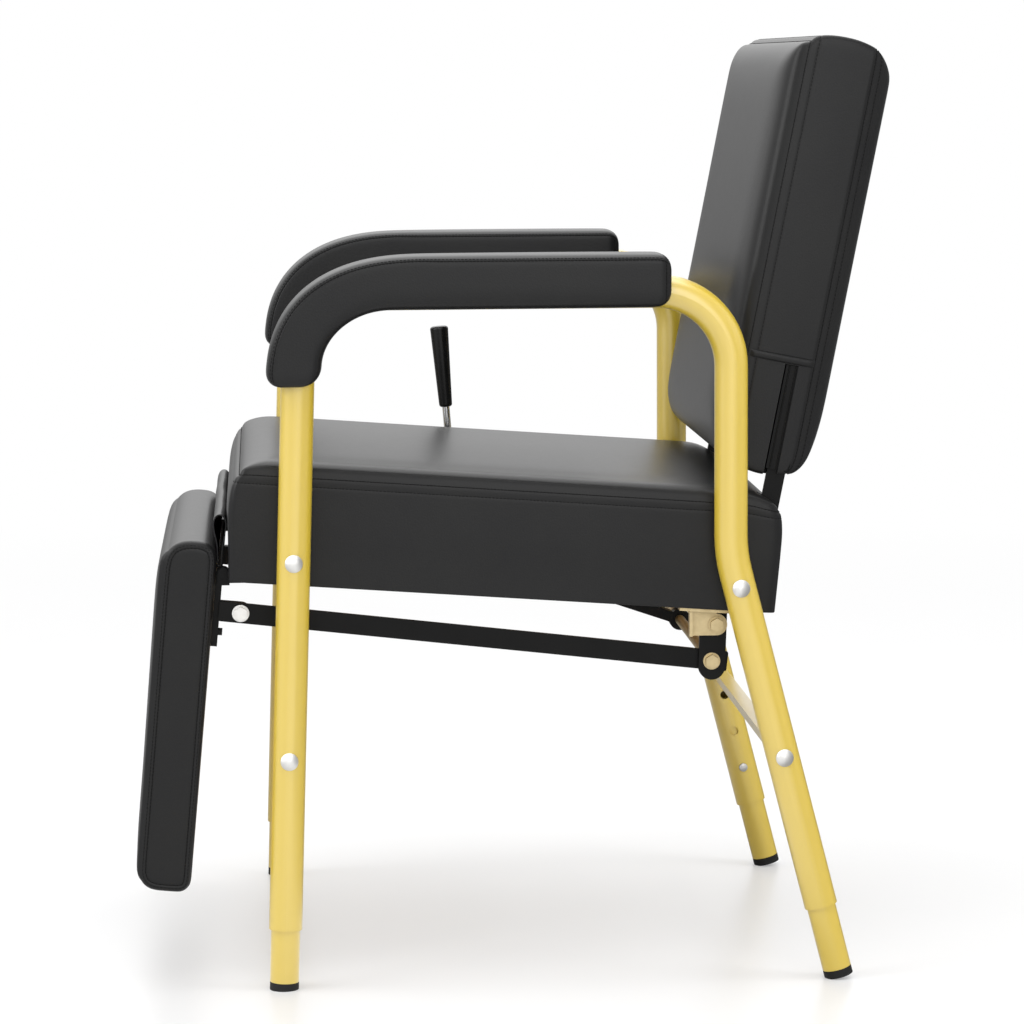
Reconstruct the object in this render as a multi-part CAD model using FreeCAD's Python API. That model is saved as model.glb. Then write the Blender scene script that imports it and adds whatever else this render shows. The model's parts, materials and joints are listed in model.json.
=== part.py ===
import FreeCAD, Part
import math
import os
from FreeCAD import Vector as V

os.makedirs("parts", exist_ok=True)

# Millimetres. X runs to the sitter's left, Y to the rear, Z up from the floor.

# Arm loops: one bent round tube on each side.
LEG_SPACING = 530.0
TUBE_D = 32.0
TUBE_WALL = 1.5
ARM_AXIS_Z = 669.5
ARM_BEND_R = 72.0
FRONT_FLOOR_Y = -224.4
FRONT_RAKE = 1.93
FRONT_SLEEVE = 59.0
REAR_FLOOR_Y = 315.0
REAR_RAKE = 14.35
REAR_SLEEVE = 74.1
REAR_POST_Y = 208.4
REAR_KNEE_R = 150.0

# Telescoping feet.
INSERT_D = 28.0
INSERT_WALL = 1.5
INSERT_TOP = 167.0
SNAP_PITCH = 42.0
SNAP_HOLES = 3
SNAP_HOLE_D = 9.5
SNAP_PIN_D = 9.0
SNAP_PROUD = 2.5
SNAP_LEAF_T = 1.0
SNAP_LEAF_W = 8.0
SNAP_LEAF_L = 38.0
SNAP_LEAF_DROP = 6.0
SNAP_LEAF_GAP = 1.5
SNAP_DEPTH = 8.0
SNAP_DOME_R = 17.3
CAP_H = 8.0
CAP_PLUG_H = 15.0
CAP_TREAD = 1.2
FIT = 0.05

# Fasteners.
BOLT_D = 8.0
BOLT_FIT = 0.1
DOME_D = 17.0
DOME_H = 5.0
HEX_AF = 15.0
HEX_H = 6.0
HEX_HEAD_AF = 12.0
WASHER_R = 8.3
WASHER_T = 1.5
PIVOT_D = 10.0
PIN_D = 6.0
PIN_OVER = 2.0
PIN_HEAD_H = 2.5
UPPER_BOLT_FRONT_Z = 414.8
UPPER_BOLT_REAR_Z = 385.0
LOWER_BOLT_FRONT_Z = 224.5
LOWER_BOLT_REAR_Z = 220.0

# Stretchers: square tube with a threaded block in each end.
STRETCHER = 12.7
STRETCHER_WALL = 1.5
STRETCHER_BLOCK = 34.0

# Arm pads.
PAD_W = 58.0
PAD_TOP_Z = 706.5
PAD_BOTTOM_Z = 655.0
PAD_REAR_Y = 149.0
PAD_FRONT_Y = -235.0
PAD_INNER_Y = -177.0
PAD_END_Z = 583.0
PAD_OUTER_R = 103.0
PAD_INNER_R = 50.0
PAD_CORNER_R = 14.0
PAD_HEEL_R = 20.0
PAD_EDGE_R = 10.0
SOFT = 0.3

# Seat: a plywood box with the cushion drawn over it, tilted back.
SEAT_TILT = 4.15
SEAT_Y = -275.0
SEAT_Z = 393.8
SEAT_DEPTH = 534.0
SEAT_GAP = 3.0
SEAT_HW = (LEG_SPACING - TUBE_D) / 2.0 - SEAT_GAP
SEAT_SEAM_H = 103.0
SEAT_CROWN = 19.0
SEAT_ROLL = 36.0
SEAT_BULGE = 1.5
SKIRT = 12.0
PLY = 12.0
COVER_T = 2.0
BOX_HW = SEAT_HW - COVER_T
BOX_H = 62.0

# Recline pivot, link pivots, legrest pivot and lever pivot, as (Y, Z).
RECLINE = (198.5, 343.4)
LINK_REAR = (194.3, 307.1)
LINK_FRONT = (-261.7, 359.8)
LEGREST_PIVOT = (-277.8, 399.0)
LEVER_PIVOT = (-30.0, 399.0)

# Steel plates stand side by side across X, from the seat side inwards.
BRACKET_INSET = 15.0
BRACKET_X = BOX_HW - BRACKET_INSET
BRACKET_T = 3.0
BRACKET_R = 10.5
BRACKET_REACH = 27.0
BRACKET_FLANGE_L = 50.0
BRACKET_LIP = 10.0
ARM_T = 5.0
ARM_GAP = 2.0
ARM_X = BRACKET_X - ARM_GAP - ARM_T
PLATE_GAP = 1.0
LINK_T = 5.0
LINK_X = ARM_X - PLATE_GAP - LINK_T
EAR_T = 5.0
EAR_X = LINK_X - PLATE_GAP
WEB_T = 5.0
WEB_X = EAR_X - PLATE_GAP - WEB_T
LINK_HALF_H = 9.7
LINK_REAR_OVER = 16.3
LINK_FRONT_OVER = 21.0
LINK_CORNER_R = 2.0
LINK_PLAY = 1.3

# Back arms: a lower lever, a dog-leg and a straight blade.
ARM_FOOT = (194.5, 301.5)
ARM_ELBOW = (197.0, 367.0)
ARM_KNEE = (245.9, 435.0)
ARM_FOOT_R = 13.0
ARM_LEG_R = 11.0
BLADE_W = 18.0
SLOT_GAP = 2.5
SLOT_X0 = ARM_X - SLOT_GAP
SLOT_X1 = BRACKET_X
SLOT_FRONT = 17.5
SLOT_LIFT = 20.0
SLOT_REACH = 78.0

# Back: board, cushion and slide-on sleeves in a frame leaning with the back.
BACK_TILT = 11.3
BACK_Y = 240.2
BACK_Z = 657.7
BACK_OVER = 3.0
BACK_HW = ARM_X + ARM_T + BACK_OVER
BACK_SIDE = 64.0
BACK_CROWN = 21.0
BACK_ROLL = 45.0
BACK_REAR_CROWN = 20.0
BACK_REAR_ROLL = 28.0
BACK_TOP = 262.0
BACK_BOTTOM = -165.0
BOARD_Y = 44.0
BOARD_INSET = 16.0
BOARD_HW = BACK_HW - BOARD_INSET
BOARD_TOP = 236.0
BLADE_Y = 40.2
BLADE_TOP = -62.0
SLEEVE_WALL = 1.8
SLEEVE_FIT = 0.2
SLEEVE_TOP = -56.0
SLEEVE_BOTTOM = -158.0
SLEEVE_FLANGE_T = 2.5
SLEEVE_FLANGE_W = 20.0
SLEEVE_RIB_R = 0.8
SLEEVE_RIBS = (1.5, 7.8)

# Legrest: board, pad and angle brackets in a frame leaning with the legrest.
REST_TILT = 5.4
REST_Y = -285.0
REST_Z = 397.0
REST_HW = BACK_HW
REST_TOP = 32.0
REST_BOTTOM = -313.0
REST_THICK = 52.0
REST_CROWN = 4.0
REST_ROLL = 28.0
REST_BOARD_INSET = 9.0
REST_BOARD_HW = REST_HW - REST_BOARD_INSET
REST_BOARD_TOP = 8.0
REST_BOARD_BOTTOM = -296.0
REST_FLANGE_W = 25.0
REST_FLANGE_T = 5.0
REST_FLANGE_TOP = 6.0
REST_FLANGE_BOTTOM = -70.0
REST_STRIP = 6.5
EAR_R = 5.8
EAR_DROP = 12.0
EAR_STRAP_H = 2.5
EAR_STRAP_LEN = 29.0
EAR_FLANGE_T = 2.0
EAR_FLANGE_W = 12.0
EAR_FLANGE_L = 16.0
FORK_R = 10.0
BUMPER_R = 3.6
BUMPER_H = 5.5
BUMPER_Z = -57.0

# Lock: bar from the cross rod to a clamp under the deck, cam rod and lever.
LOCK_X = -60.0
LOCK_W = 16.0
LOCK_HALF_H = 5.5
LOCK_SLOPE = 18.9
LOCK_LEN = 297.0
LOCK_EYE_R = 11.0
CLAMP_HW = 16.0
CLAMP_T = 3.0
CLAMP_HALF_LEN = 18.0
CLAMP_BOTTOM = -9.0
CAM_R = 5.9
CAM_OFFSET = 0.6
LEVER_D = 8.0
LEVER_GAP = 10.0
LEVER_X = -SEAT_HW - LEVER_GAP
LEVER_INNER_X = -40.0
LEVER_LEAN = 4.5
LEVER_BEND_R = 11.0
LEVER_HOLE_GAP = 1.0
LEVER_LEN = 191.5
GRIP_START = 116.5
GRIP_END = 204.5
GRIP_R0 = 7.0
GRIP_R1 = 9.9
GRIP_ROUND = 3.0

# Vinyl flap over the gap between seat and legrest.
FLAP_INSET = 3.0
FLAP_HW = WEB_X - FLAP_INSET
FLAP_T = 1.2
FLAP_TAB_H = 7.0
FLAP_WAIST_R = 14.0
FLAP_TOP_R = 4.0
FLAP_FOOT = (-284.1, 403.4)
FLAP_HEEL = (-279.9, 403.4)
FLAP_BACK = (-278.4, 427.0)
FLAP_REAR = (-274.2, 450.0)
FLAP_TOP = (-280.3, 457.6)
FLAP_FRONT = (-287.4, 450.0)
FLAP_WAIST = (-283.0, 425.0)

HALF = LEG_SPACING / 2.0
TUBE_R = TUBE_D / 2.0
SHAPES = {}


def slope(angle):
    return math.tan(math.radians(angle))


def front_leg_y(z):
    return FRONT_FLOOR_Y + z * slope(FRONT_RAKE)


def rear_leg_y(z):
    return REAR_FLOOR_Y - z * slope(REAR_RAKE)


def pose(shape, tilt, y, z):
    moved = shape.copy()
    moved.rotate(V(0, 0, 0), V(1, 0, 0), -tilt)
    moved.translate(V(0, y, z))
    return moved


def local(point, tilt, y, z):
    a = math.radians(tilt)
    dy = point[0] - y
    dz = point[1] - z
    return (dy * math.cos(a) - dz * math.sin(a), dy * math.sin(a) + dz * math.cos(a))


def in_seat(shape):
    return pose(shape, SEAT_TILT, SEAT_Y, SEAT_Z)


def in_back(shape):
    return pose(shape, BACK_TILT, BACK_Y, BACK_Z)


def in_rest(shape):
    return pose(shape, REST_TILT, REST_Y, REST_Z)


def mirrored(shape):
    return shape.mirror(V(0, 0, 0), V(1, 0, 0))


def both(name, shape):
    SHAPES[name + "_left"] = shape
    SHAPES[name + "_right"] = mirrored(shape)


def box(x0, x1, y0, y1, z0, z1):
    return Part.makeBox(x1 - x0, y1 - y0, z1 - z0, V(x0, y0, z0))


def rod(x0, x1, at, r):
    return Part.makeCylinder(r, x1 - x0, V(x0, at[0], at[1]), V(1, 0, 0))


def hexagon(x0, x1, at, af):
    r = af / math.sqrt(3.0)
    points = []
    for i in range(7):
        a = math.radians(60.0 * i + 90.0)
        points.append(V(x0, at[0] + r * math.cos(a), at[1] + r * math.sin(a)))
    return Part.Face(Part.makePolygon(points)).extrude(V(x1 - x0, 0, 0))


def flange_head(x0, x1, at):
    washer = rod(x0, x0 + WASHER_T, at, WASHER_R)
    return washer.fuse(hexagon(x0, x1, at, HEX_HEAD_AF)).removeSplitter()


def unit(vector):
    return V(vector).normalize()


def corner(a, b, c, r):
    u = unit(a - b)
    w = unit(c - b)
    half = u.getAngle(w) / 2.0
    reach = r / math.tan(half)
    bisector = unit(u + w)
    middle = b + bisector * (r / math.sin(half) - r)
    return b + u * reach, middle, b + w * reach


def bent_wire(points, radii):
    edges = []
    start = points[0]
    for i in range(1, len(points) - 1):
        p, m, q = corner(points[i - 1], points[i], points[i + 1], radii[i - 1])
        edges.append(Part.LineSegment(start, p).toShape())
        edges.append(Part.Arc(p, m, q).toShape())
        start = q
    edges.append(Part.LineSegment(start, points[-1]).toShape())
    return Part.Wire(edges)


def pipe(wire, r):
    edge = wire.OrderedEdges[0]
    at = edge.valueAt(edge.FirstParameter)
    along = edge.tangentAt(edge.FirstParameter)
    disc = Part.Face(Part.Wire(Part.makeCircle(r, at, along)))
    return wire.makePipe(disc)


def rounded(points, radii, x0, x1):
    spots = [V(x0, p[0], p[1]) for p in points]
    count = len(spots)
    arcs = []
    for i in range(count):
        arcs.append(corner(spots[i - 1], spots[i], spots[(i + 1) % count], radii[i]))
    edges = []
    for i in range(count):
        p, m, q = arcs[i]
        after = arcs[(i + 1) % count][0]
        edges.append(Part.Arc(p, m, q).toShape())
        if q.distanceToPoint(after) > 1e-6:
            edges.append(Part.LineSegment(q, after).toShape())
    return Part.Face(Part.Wire(edges)).extrude(V(x1 - x0, 0, 0))


def prism(points, x0, x1):
    spots = [V(x0, p[0], p[1]) for p in points]
    spots.append(spots[0])
    return Part.Face(Part.makePolygon(spots)).extrude(V(x1 - x0, 0, 0))


def strip(p, q, half, x0, x1):
    a = V(0, p[0], p[1])
    b = V(0, q[0], q[1])
    along = unit(b - a)
    side = V(0, -along.z, along.y) * half
    spots = [a + side, b + side, b - side, a - side]
    return prism([(s.y, s.z) for s in spots], x0, x1)


def stadium(p, q, r, x0, x1):
    body = strip(p, q, r, x0, x1)
    return body.fuse([rod(x0, x1, p, r), rod(x0, x1, q, r)]).removeSplitter()


def face_edges(at, side, d, bulge, reach):
    # One long side of a ring from x = -side to x = side: a roll, a flat and a roll.
    if reach == 0.0:
        return [Part.LineSegment(at(-side, d), at(side, d)).toShape()]
    flat = side - math.copysign(reach, side)
    top = d + bulge
    r = (reach * reach + bulge * bulge) / (2.0 * abs(bulge))
    half = math.asin(reach / r) / 2.0
    out = math.copysign(r * math.sin(half), side)
    low = top - math.copysign(r * (1.0 - math.cos(half)), bulge)
    return [
        Part.Arc(at(-side, d), at(-flat - out, low), at(-flat, top)).toShape(),
        Part.LineSegment(at(-flat, top), at(flat, top)).toShape(),
        Part.Arc(at(flat, top), at(flat + out, low), at(side, d)).toShape(),
    ]


def ring(upright, s, low, high):
    # low and high are (half width, depth, bulge, roll) of the two long sides.
    hw0, d0, bulge0, roll0 = low
    hw1, d1, bulge1, roll1 = high
    mid_x = max(hw0, hw1) + SEAT_BULGE
    mid_d = (d0 + d1) / 2.0

    def at(x, d):
        return V(x, d, s) if upright else V(x, s, d)

    edges = face_edges(at, hw0, d0, bulge0, roll0)
    edges.append(Part.Arc(at(hw0, d0), at(mid_x, mid_d), at(hw1, d1)).toShape())
    edges += face_edges(at, -hw1, d1, bulge1, roll1)
    edges.append(Part.Arc(at(-hw1, d1), at(-mid_x, mid_d), at(-hw0, d0)).toShape())
    return Part.Wire(edges)


def loft(rings):
    return Part.makeLoft(rings, True, True)


def arm_wire(x):
    front_end = FRONT_SLEEVE * math.cos(math.radians(FRONT_RAKE))
    rear_end = REAR_SLEEVE * math.cos(math.radians(REAR_RAKE))
    knee_z = (REAR_FLOOR_Y - REAR_POST_Y) / slope(REAR_RAKE)
    points = [
        V(x, front_leg_y(front_end), front_end),
        V(x, front_leg_y(ARM_AXIS_Z), ARM_AXIS_Z),
        V(x, REAR_POST_Y, ARM_AXIS_Z),
        V(x, REAR_POST_Y, knee_z),
        V(x, rear_leg_y(rear_end), rear_end),
    ]
    return bent_wire(points, [ARM_BEND_R, ARM_BEND_R, REAR_KNEE_R])


def upper_bolts():
    return [
        (front_leg_y(UPPER_BOLT_FRONT_Z), UPPER_BOLT_FRONT_Z),
        (rear_leg_y(UPPER_BOLT_REAR_Z), UPPER_BOLT_REAR_Z),
    ]


def lower_bolts():
    return [
        (front_leg_y(LOWER_BOLT_FRONT_Z), LOWER_BOLT_FRONT_Z),
        (rear_leg_y(LOWER_BOLT_REAR_Z), LOWER_BOLT_REAR_Z),
    ]


def leg_poses():
    return {
        "front": (FRONT_RAKE, FRONT_FLOOR_Y, FRONT_SLEEVE),
        "rear": (-REAR_RAKE, REAR_FLOOR_Y, REAR_SLEEVE),
    }


def snap_hole(x0, x1, t):
    return rod(x0, x1, (0.0, t), SNAP_HOLE_D / 2.0)


def arm_frames():
    wire = arm_wire(HALF)
    tube = pipe(wire, TUBE_R).cut(pipe(wire, TUBE_R - TUBE_WALL))
    holes = []
    for at in upper_bolts() + lower_bolts():
        holes.append(rod(HALF - TUBE_D, HALF + TUBE_D, at, BOLT_D / 2.0 + BOLT_FIT))
    for tilt, y, sleeve in leg_poses().values():
        for i in range(SNAP_HOLES):
            hole = snap_hole(HALF - TUBE_D, HALF, sleeve + SNAP_PITCH * (i + 1))
            holes.append(pose(hole, tilt, y, 0.0))
    both("arm_frame", tube.cut(holes))


def arm_pads():
    points = [
        (PAD_REAR_Y, PAD_BOTTOM_Z),
        (PAD_REAR_Y, PAD_TOP_Z),
        (PAD_FRONT_Y, PAD_TOP_Z),
        (PAD_FRONT_Y, PAD_END_Z),
        (PAD_INNER_Y, PAD_END_Z),
        (PAD_INNER_Y, PAD_BOTTOM_Z),
    ]
    c = PAD_CORNER_R
    radii = [c, c, PAD_OUTER_R, c, PAD_HEEL_R, PAD_INNER_R]
    x0 = HALF - PAD_W / 2.0
    x1 = HALF + PAD_W / 2.0
    pad = rounded(points, radii, x0, x1)
    rims = []
    for edge in pad.Edges:
        span = edge.BoundBox
        if span.XLength < 1e-6:
            rims.append(edge)
    pad = pad.makeFillet(PAD_EDGE_R, rims)
    both("arm_pad", pad.cut(pipe(arm_wire(HALF), TUBE_R + SOFT)))


def stretcher(at, tilt):
    h = STRETCHER / 2.0
    w = h - STRETCHER_WALL
    bar = box(-HALF, HALF, -h, h, -h, h)
    hollow = HALF - STRETCHER_BLOCK
    bar = bar.cut(box(-hollow, hollow, -w, w, -w, w))
    r = BOLT_D / 2.0 + BOLT_FIT
    bar = bar.cut([rod(hollow - 1.0, HALF, (0, 0), r), rod(-HALF, 1.0 - hollow, (0, 0), r)])
    for x in (-HALF, HALF):
        bar = bar.cut(Part.makeCylinder(TUBE_R + FIT, TUBE_D * 4, V(x, 0, -TUBE_D * 2)))
    return pose(bar, tilt, at[0], at[1])


def stretchers():
    front, rear = lower_bolts()
    SHAPES["front_stretcher"] = stretcher(front, FRONT_RAKE)
    SHAPES["rear_stretcher"] = stretcher(rear, -REAR_RAKE)


def dome_bolt(at, length):
    x = HALF + TUBE_R
    r = DOME_D / 2.0
    crown = DOME_H - 1.0
    ball = (r * r + crown * crown) / (2.0 * crown)
    head = rod(x, x + DOME_H, at, r)
    head = head.common(Part.makeSphere(ball, V(x + DOME_H - ball, at[0], at[1])))
    return head.fuse(rod(x - length, x, at, BOLT_D / 2.0)).removeSplitter()


def frame_bolts():
    reach_seat = HALF + TUBE_R - BOX_HW + PLY - 2.0
    reach_bar = TUBE_R + STRETCHER_BLOCK
    bolts = [dome_bolt(at, reach_seat) for at in upper_bolts()]
    bolts += [dome_bolt(at, reach_bar) for at in lower_bolts()]
    both("frame_bolts", Part.makeCompound(bolts))


def seat_spacers():
    rings = []
    for at in upper_bolts():
        ring_x = HALF - TUBE_R
        outer = rod(BOX_HW, ring_x, at, BOLT_D)
        rings.append(outer.cut(rod(BOX_HW, ring_x, at, BOLT_D / 2.0 + BOLT_FIT)))
    rings += [mirrored(spacer) for spacer in rings]
    SHAPES["seat_spacers"] = Part.makeCompound(rings)


def arm_slots():
    front = RECLINE[0] - SLOT_FRONT
    bottom = RECLINE[1] - SLOT_LIFT
    elbow = ARM_ELBOW[1] + ARM_LEG_R / 2.0
    knee_y = ARM_KNEE[0] - ARM_LEG_R - SLOT_GAP
    top = SEAT_Z + SEAT_SEAM_H + SLOT_LIFT
    rear = SEAT_Y + SEAT_DEPTH + SLOT_REACH
    lean = (top - ARM_KNEE[1]) * slope(BACK_TILT)
    points = [
        (front, bottom),
        (front, elbow),
        (knee_y, ARM_KNEE[1] + ARM_LEG_R),
        (knee_y + lean, top),
        (rear, top),
        (rear, bottom),
    ]
    slot = prism(points, SLOT_X0, SLOT_X1)
    return [slot, mirrored(slot)]


def seat_side_panel():
    panel = in_seat(box(BOX_HW - PLY, BOX_HW, SKIRT, SEAT_DEPTH - SKIRT, 0, BOX_H))
    for at in upper_bolts():
        panel = panel.cut(rod(0, BOX_HW + 1.0, at, BOLT_D / 2.0 + BOLT_FIT))
    return panel


def seat_box():
    side = seat_side_panel()
    SHAPES["seat_side_left"] = side
    bearing = rod(-BOX_HW - 1.0, 1.0 - BOX_HW + PLY, LEVER_PIVOT, LEVER_D / 2.0 + FIT)
    SHAPES["seat_side_right"] = mirrored(side).cut(bearing)
    hw = BOX_HW - PLY
    front = box(-hw, hw, SKIRT, SKIRT + PLY, 0, BOX_H - PLY)
    inner = SLOT_X0
    rear = box(-inner, inner, SEAT_DEPTH - SKIRT - PLY, SEAT_DEPTH - SKIRT, 0, BOX_H - PLY)
    deck = box(-hw, hw, SKIRT, SEAT_DEPTH - SKIRT, BOX_H - PLY, BOX_H)
    SHAPES["seat_front_panel"] = in_seat(front)
    SHAPES["seat_rear_panel"] = in_seat(rear)
    SHAPES["seat_deck"] = in_seat(deck).cut(arm_slots())


def seat_ring(u, inset, drop, crown):
    low = (SEAT_HW - 0.4 - inset, inset / 3.0, 0.0, 0.0)
    high = (SEAT_HW - inset, SEAT_SEAM_H - drop, crown, SEAT_ROLL)
    return ring(False, u, low, high)


def ear_notches():
    y, z = LEGREST_PIVOT
    x0 = WEB_X - PIN_OVER - 1.0
    x1 = EAR_X + EAR_T + PIN_HEAD_H + 1.0
    y1 = y + EAR_R + 1.0
    notch = box(x0, x1, y1 - 4.0 * EAR_R, y1, z - EAR_DROP, z + EAR_R + 1.0)
    return [notch, mirrored(notch)]


def seat_cushion():
    d = SEAT_DEPTH
    c = SEAT_CROWN
    rings = [
        seat_ring(0.0, 7.0, 11.0, 1.0),
        seat_ring(3.0, 3.0, 5.0, 2.0),
        seat_ring(9.0, 1.0, 1.5, 6.0),
        seat_ring(22.0, 0.0, 0.0, c - 6.0),
        seat_ring(45.0, 0.0, 0.0, c),
        seat_ring(d / 2.0, 0.0, 0.0, c),
        seat_ring(d - 80.0, 0.0, 0.0, c - 1.0),
        seat_ring(d - 36.0, 0.0, 1.0, c - 6.0),
        seat_ring(d - 12.0, 1.0, 6.0, 6.0),
        seat_ring(d - 4.0, 3.0, 12.0, 3.0),
        seat_ring(d, 7.0, 20.0, 1.0),
    ]
    s = SOFT
    pocket = box(-BOX_HW - s, BOX_HW + s, SKIRT - s, d - SKIRT + s, -9.0, BOX_H + s)
    cushion = in_seat(loft(rings).cut(pocket)).cut(arm_slots() + ear_notches())
    holes = []
    for at in upper_bolts():
        holes.append(rod(BOX_HW, HALF, at, BOLT_D + SOFT))
        holes.append(rod(-HALF, -BOX_HW, at, BOLT_D + SOFT))
    holes.append(rod(-HALF, -BOX_HW, LEVER_PIVOT, LEVER_D / 2.0 + LEVER_HOLE_GAP))
    SHAPES["seat_cushion"] = cushion.cut(holes)


def seat_bottom_z(y):
    return SEAT_Z - (y - SEAT_Y) * slope(SEAT_TILT)


def recline_brackets():
    y, z = RECLINE
    r = BRACKET_R
    front = y - BRACKET_REACH
    x0 = BRACKET_X
    x1 = BRACKET_X + BRACKET_T
    tongue = box(x0, x1, front, y, z - r, z + r).fuse(rod(x0, x1, RECLINE, r))
    neck = prism(
        [
            (front, z),
            (y, z),
            (y, seat_bottom_z(y) - 1.0),
            (front, seat_bottom_z(front) - 1.0),
        ],
        x0,
        x1,
    )
    u0 = local((front, seat_bottom_z(front)), SEAT_TILT, SEAT_Y, SEAT_Z)[0] - BRACKET_LIP
    flange = in_seat(box(x0, BOX_HW - 1.0, u0, u0 + BRACKET_FLANGE_L, -BRACKET_T, 0.0))
    lip = box(x0, x0 + BRACKET_LIP, front, front + BRACKET_T, z - r, seat_bottom_z(front) - 2.0)
    plate = tongue.fuse([neck, flange, lip]).removeSplitter()
    both("recline_bracket", plate.cut(rod(x0 - 1, x1 + 1, RECLINE, PIVOT_D / 2.0 + FIT)))


def recline_pivots():
    x = BRACKET_X + BRACKET_T
    head = flange_head(x, x + HEX_H, RECLINE)
    nut_x = ARM_X - 0.5
    nut = hexagon(nut_x - HEX_H, nut_x, RECLINE, HEX_AF)
    shank = rod(nut_x - HEX_H - 2.0, x, RECLINE, PIVOT_D / 2.0)
    both("recline_pivot", head.fuse([nut, shank]).removeSplitter())


def back_arms():
    x0 = ARM_X
    x1 = ARM_X + ARM_T
    lower = stadium(ARM_FOOT, ARM_ELBOW, ARM_FOOT_R, x0, x1)
    leg = stadium(ARM_ELBOW, ARM_KNEE, ARM_LEG_R, x0, x1)
    knee = local(ARM_KNEE, BACK_TILT, BACK_Y, BACK_Z)
    blade = in_back(box(x0, x1, BLADE_Y, BLADE_Y + BLADE_W, knee[1], BLADE_TOP))
    arm = lower.fuse([leg, blade]).removeSplitter()
    for at in (RECLINE, LINK_REAR):
        arm = arm.cut(rod(x0 - 1, x1 + 1, at, PIVOT_D / 2.0 + FIT))
    both("back_arm", arm)


def back_sleeves():
    f = SLEEVE_FIT
    w = SLEEVE_WALL
    x0 = ARM_X
    x1 = ARM_X + ARM_T
    y0 = BLADE_Y
    y1 = BLADE_Y + BLADE_W
    top = BLADE_TOP + 1.0
    shell = box(x0 - f - w, x1 + f + w, y0 - f - w, y1 + f + w, SLEEVE_BOTTOM, SLEEVE_TOP)
    cavity = box(x0 - f, x1 + f, y0 - f, y1 + f, SLEEVE_BOTTOM - 1.0, top)
    flange_y = BOARD_Y + PLY
    edge_x = BOARD_HW - SLEEVE_FLANGE_W
    flange = box(
        edge_x,
        x0 - f,
        flange_y,
        flange_y + SLEEVE_FLANGE_T,
        SLEEVE_BOTTOM + 4.0,
        SLEEVE_TOP - 12.0,
    )
    ribs = []
    rib_x = x1 + f + w
    for at in SLEEVE_RIBS:
        foot = V(rib_x, y0 + at, SLEEVE_BOTTOM)
        ribs.append(Part.makeCylinder(SLEEVE_RIB_R, SLEEVE_TOP - SLEEVE_BOTTOM, foot))
    sleeve = shell.fuse([flange] + ribs).cut(cavity).removeSplitter()
    both("back_sleeve", in_back(sleeve))


def back_board():
    board = box(-BOARD_HW, BOARD_HW, BOARD_Y, BOARD_Y + PLY, BACK_BOTTOM + 3.0, BOARD_TOP)
    SHAPES["back_board"] = in_back(board)


def back_ring(v, inset, front, crown, rear, rear_crown):
    low = (BACK_HW - inset, front, -crown, BACK_ROLL)
    high = (BACK_HW - inset, rear, rear_crown, BACK_REAR_ROLL)
    return ring(True, v, low, high)


def back_pockets():
    s = SOFT
    board = box(
        -BOARD_HW - s,
        BOARD_HW + s,
        BOARD_Y - s,
        BOARD_Y + PLY + SLEEVE_FLANGE_T + s,
        BACK_BOTTOM - 1.0,
        BOARD_TOP + s,
    )
    x0 = ARM_X - SLEEVE_FIT - SLEEVE_WALL - s
    y0 = BLADE_Y - SLEEVE_FIT - SLEEVE_WALL - s
    y1 = BLADE_Y + BLADE_W + SLEEVE_FIT + SLEEVE_WALL + s
    side = box(x0 - 8.0, BACK_HW + 9.0, y0, y1, BACK_BOTTOM - 1.0, SLEEVE_TOP + s)
    return [board, side, mirrored(side)]


def back_cushion():
    side = BACK_SIDE
    c = BACK_CROWN
    k = BACK_REAR_CROWN
    low = BACK_BOTTOM
    top = BACK_TOP
    rings = [
        back_ring(low, 9.0, 22.0, 2.0, side - 16.0, 2.0),
        back_ring(low + 4.0, 5.0, 13.0, 4.0, side - 10.0, 5.0),
        back_ring(low + 14.0, 1.0, 5.0, 9.0, side - 5.0, 9.0),
        back_ring(low + 40.0, 0.0, 0.0, c - 4.0, side - 1.0, k - 5.0),
        back_ring(low + 75.0, 0.0, 0.0, c, side, k - 1.0),
        back_ring(0.0, 0.0, 0.0, c, side, k),
        back_ring(top - 45.0, 0.0, 0.0, c - 1.0, side, k),
        back_ring(top - 22.0, 0.5, 0.0, c - 8.0, side, k - 5.0),
        back_ring(top - 10.0, 1.0, 0.0, 5.0, side - 2.0, 9.0),
        back_ring(top - 4.0, 3.0, 8.0, 2.0, side - 7.0, 5.0),
        back_ring(top, 7.0, 18.0, 1.0, side - 16.0, 2.0),
    ]
    SHAPES["back_cushion"] = in_back(loft(rings).cut(back_pockets()))


def cross_rod():
    end = ARM_X + ARM_T
    span = rod(-end - HEX_H, end + HEX_H, LINK_REAR, PIVOT_D / 2.0)
    SHAPES["cross_rod"] = span
    nut = flange_head(end, end + HEX_H + 1.0, LINK_REAR)
    nut = nut.cut(rod(end - 1.0, end + HEX_H, LINK_REAR, PIVOT_D / 2.0 + FIT))
    both("cross_rod_nut", nut)


def link_bars():
    a = V(0, LINK_REAR[0], LINK_REAR[1])
    b = V(0, LINK_FRONT[0], LINK_FRONT[1])
    along = unit(b - a)
    rear = a - along * LINK_REAR_OVER
    front = b + along * LINK_FRONT_OVER
    x0 = LINK_X
    x1 = LINK_X + LINK_T
    bar = strip((rear.y, rear.z), (front.y, front.z), LINK_HALF_H, x0, x1)
    corners = []
    for edge in bar.Edges:
        if edge.BoundBox.XLength > LINK_T - 0.1:
            corners.append(edge)
    bar = bar.makeFillet(LINK_CORNER_R, corners)
    bar = bar.cut(rod(x0 - 1, x1 + 1, LINK_REAR, PIVOT_D / 2.0 + FIT))
    bar = bar.cut(rod(x0 - 1, x1 + 1, LINK_FRONT, BOLT_D / 2.0 + LINK_PLAY))
    both("link_bar", bar)


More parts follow.
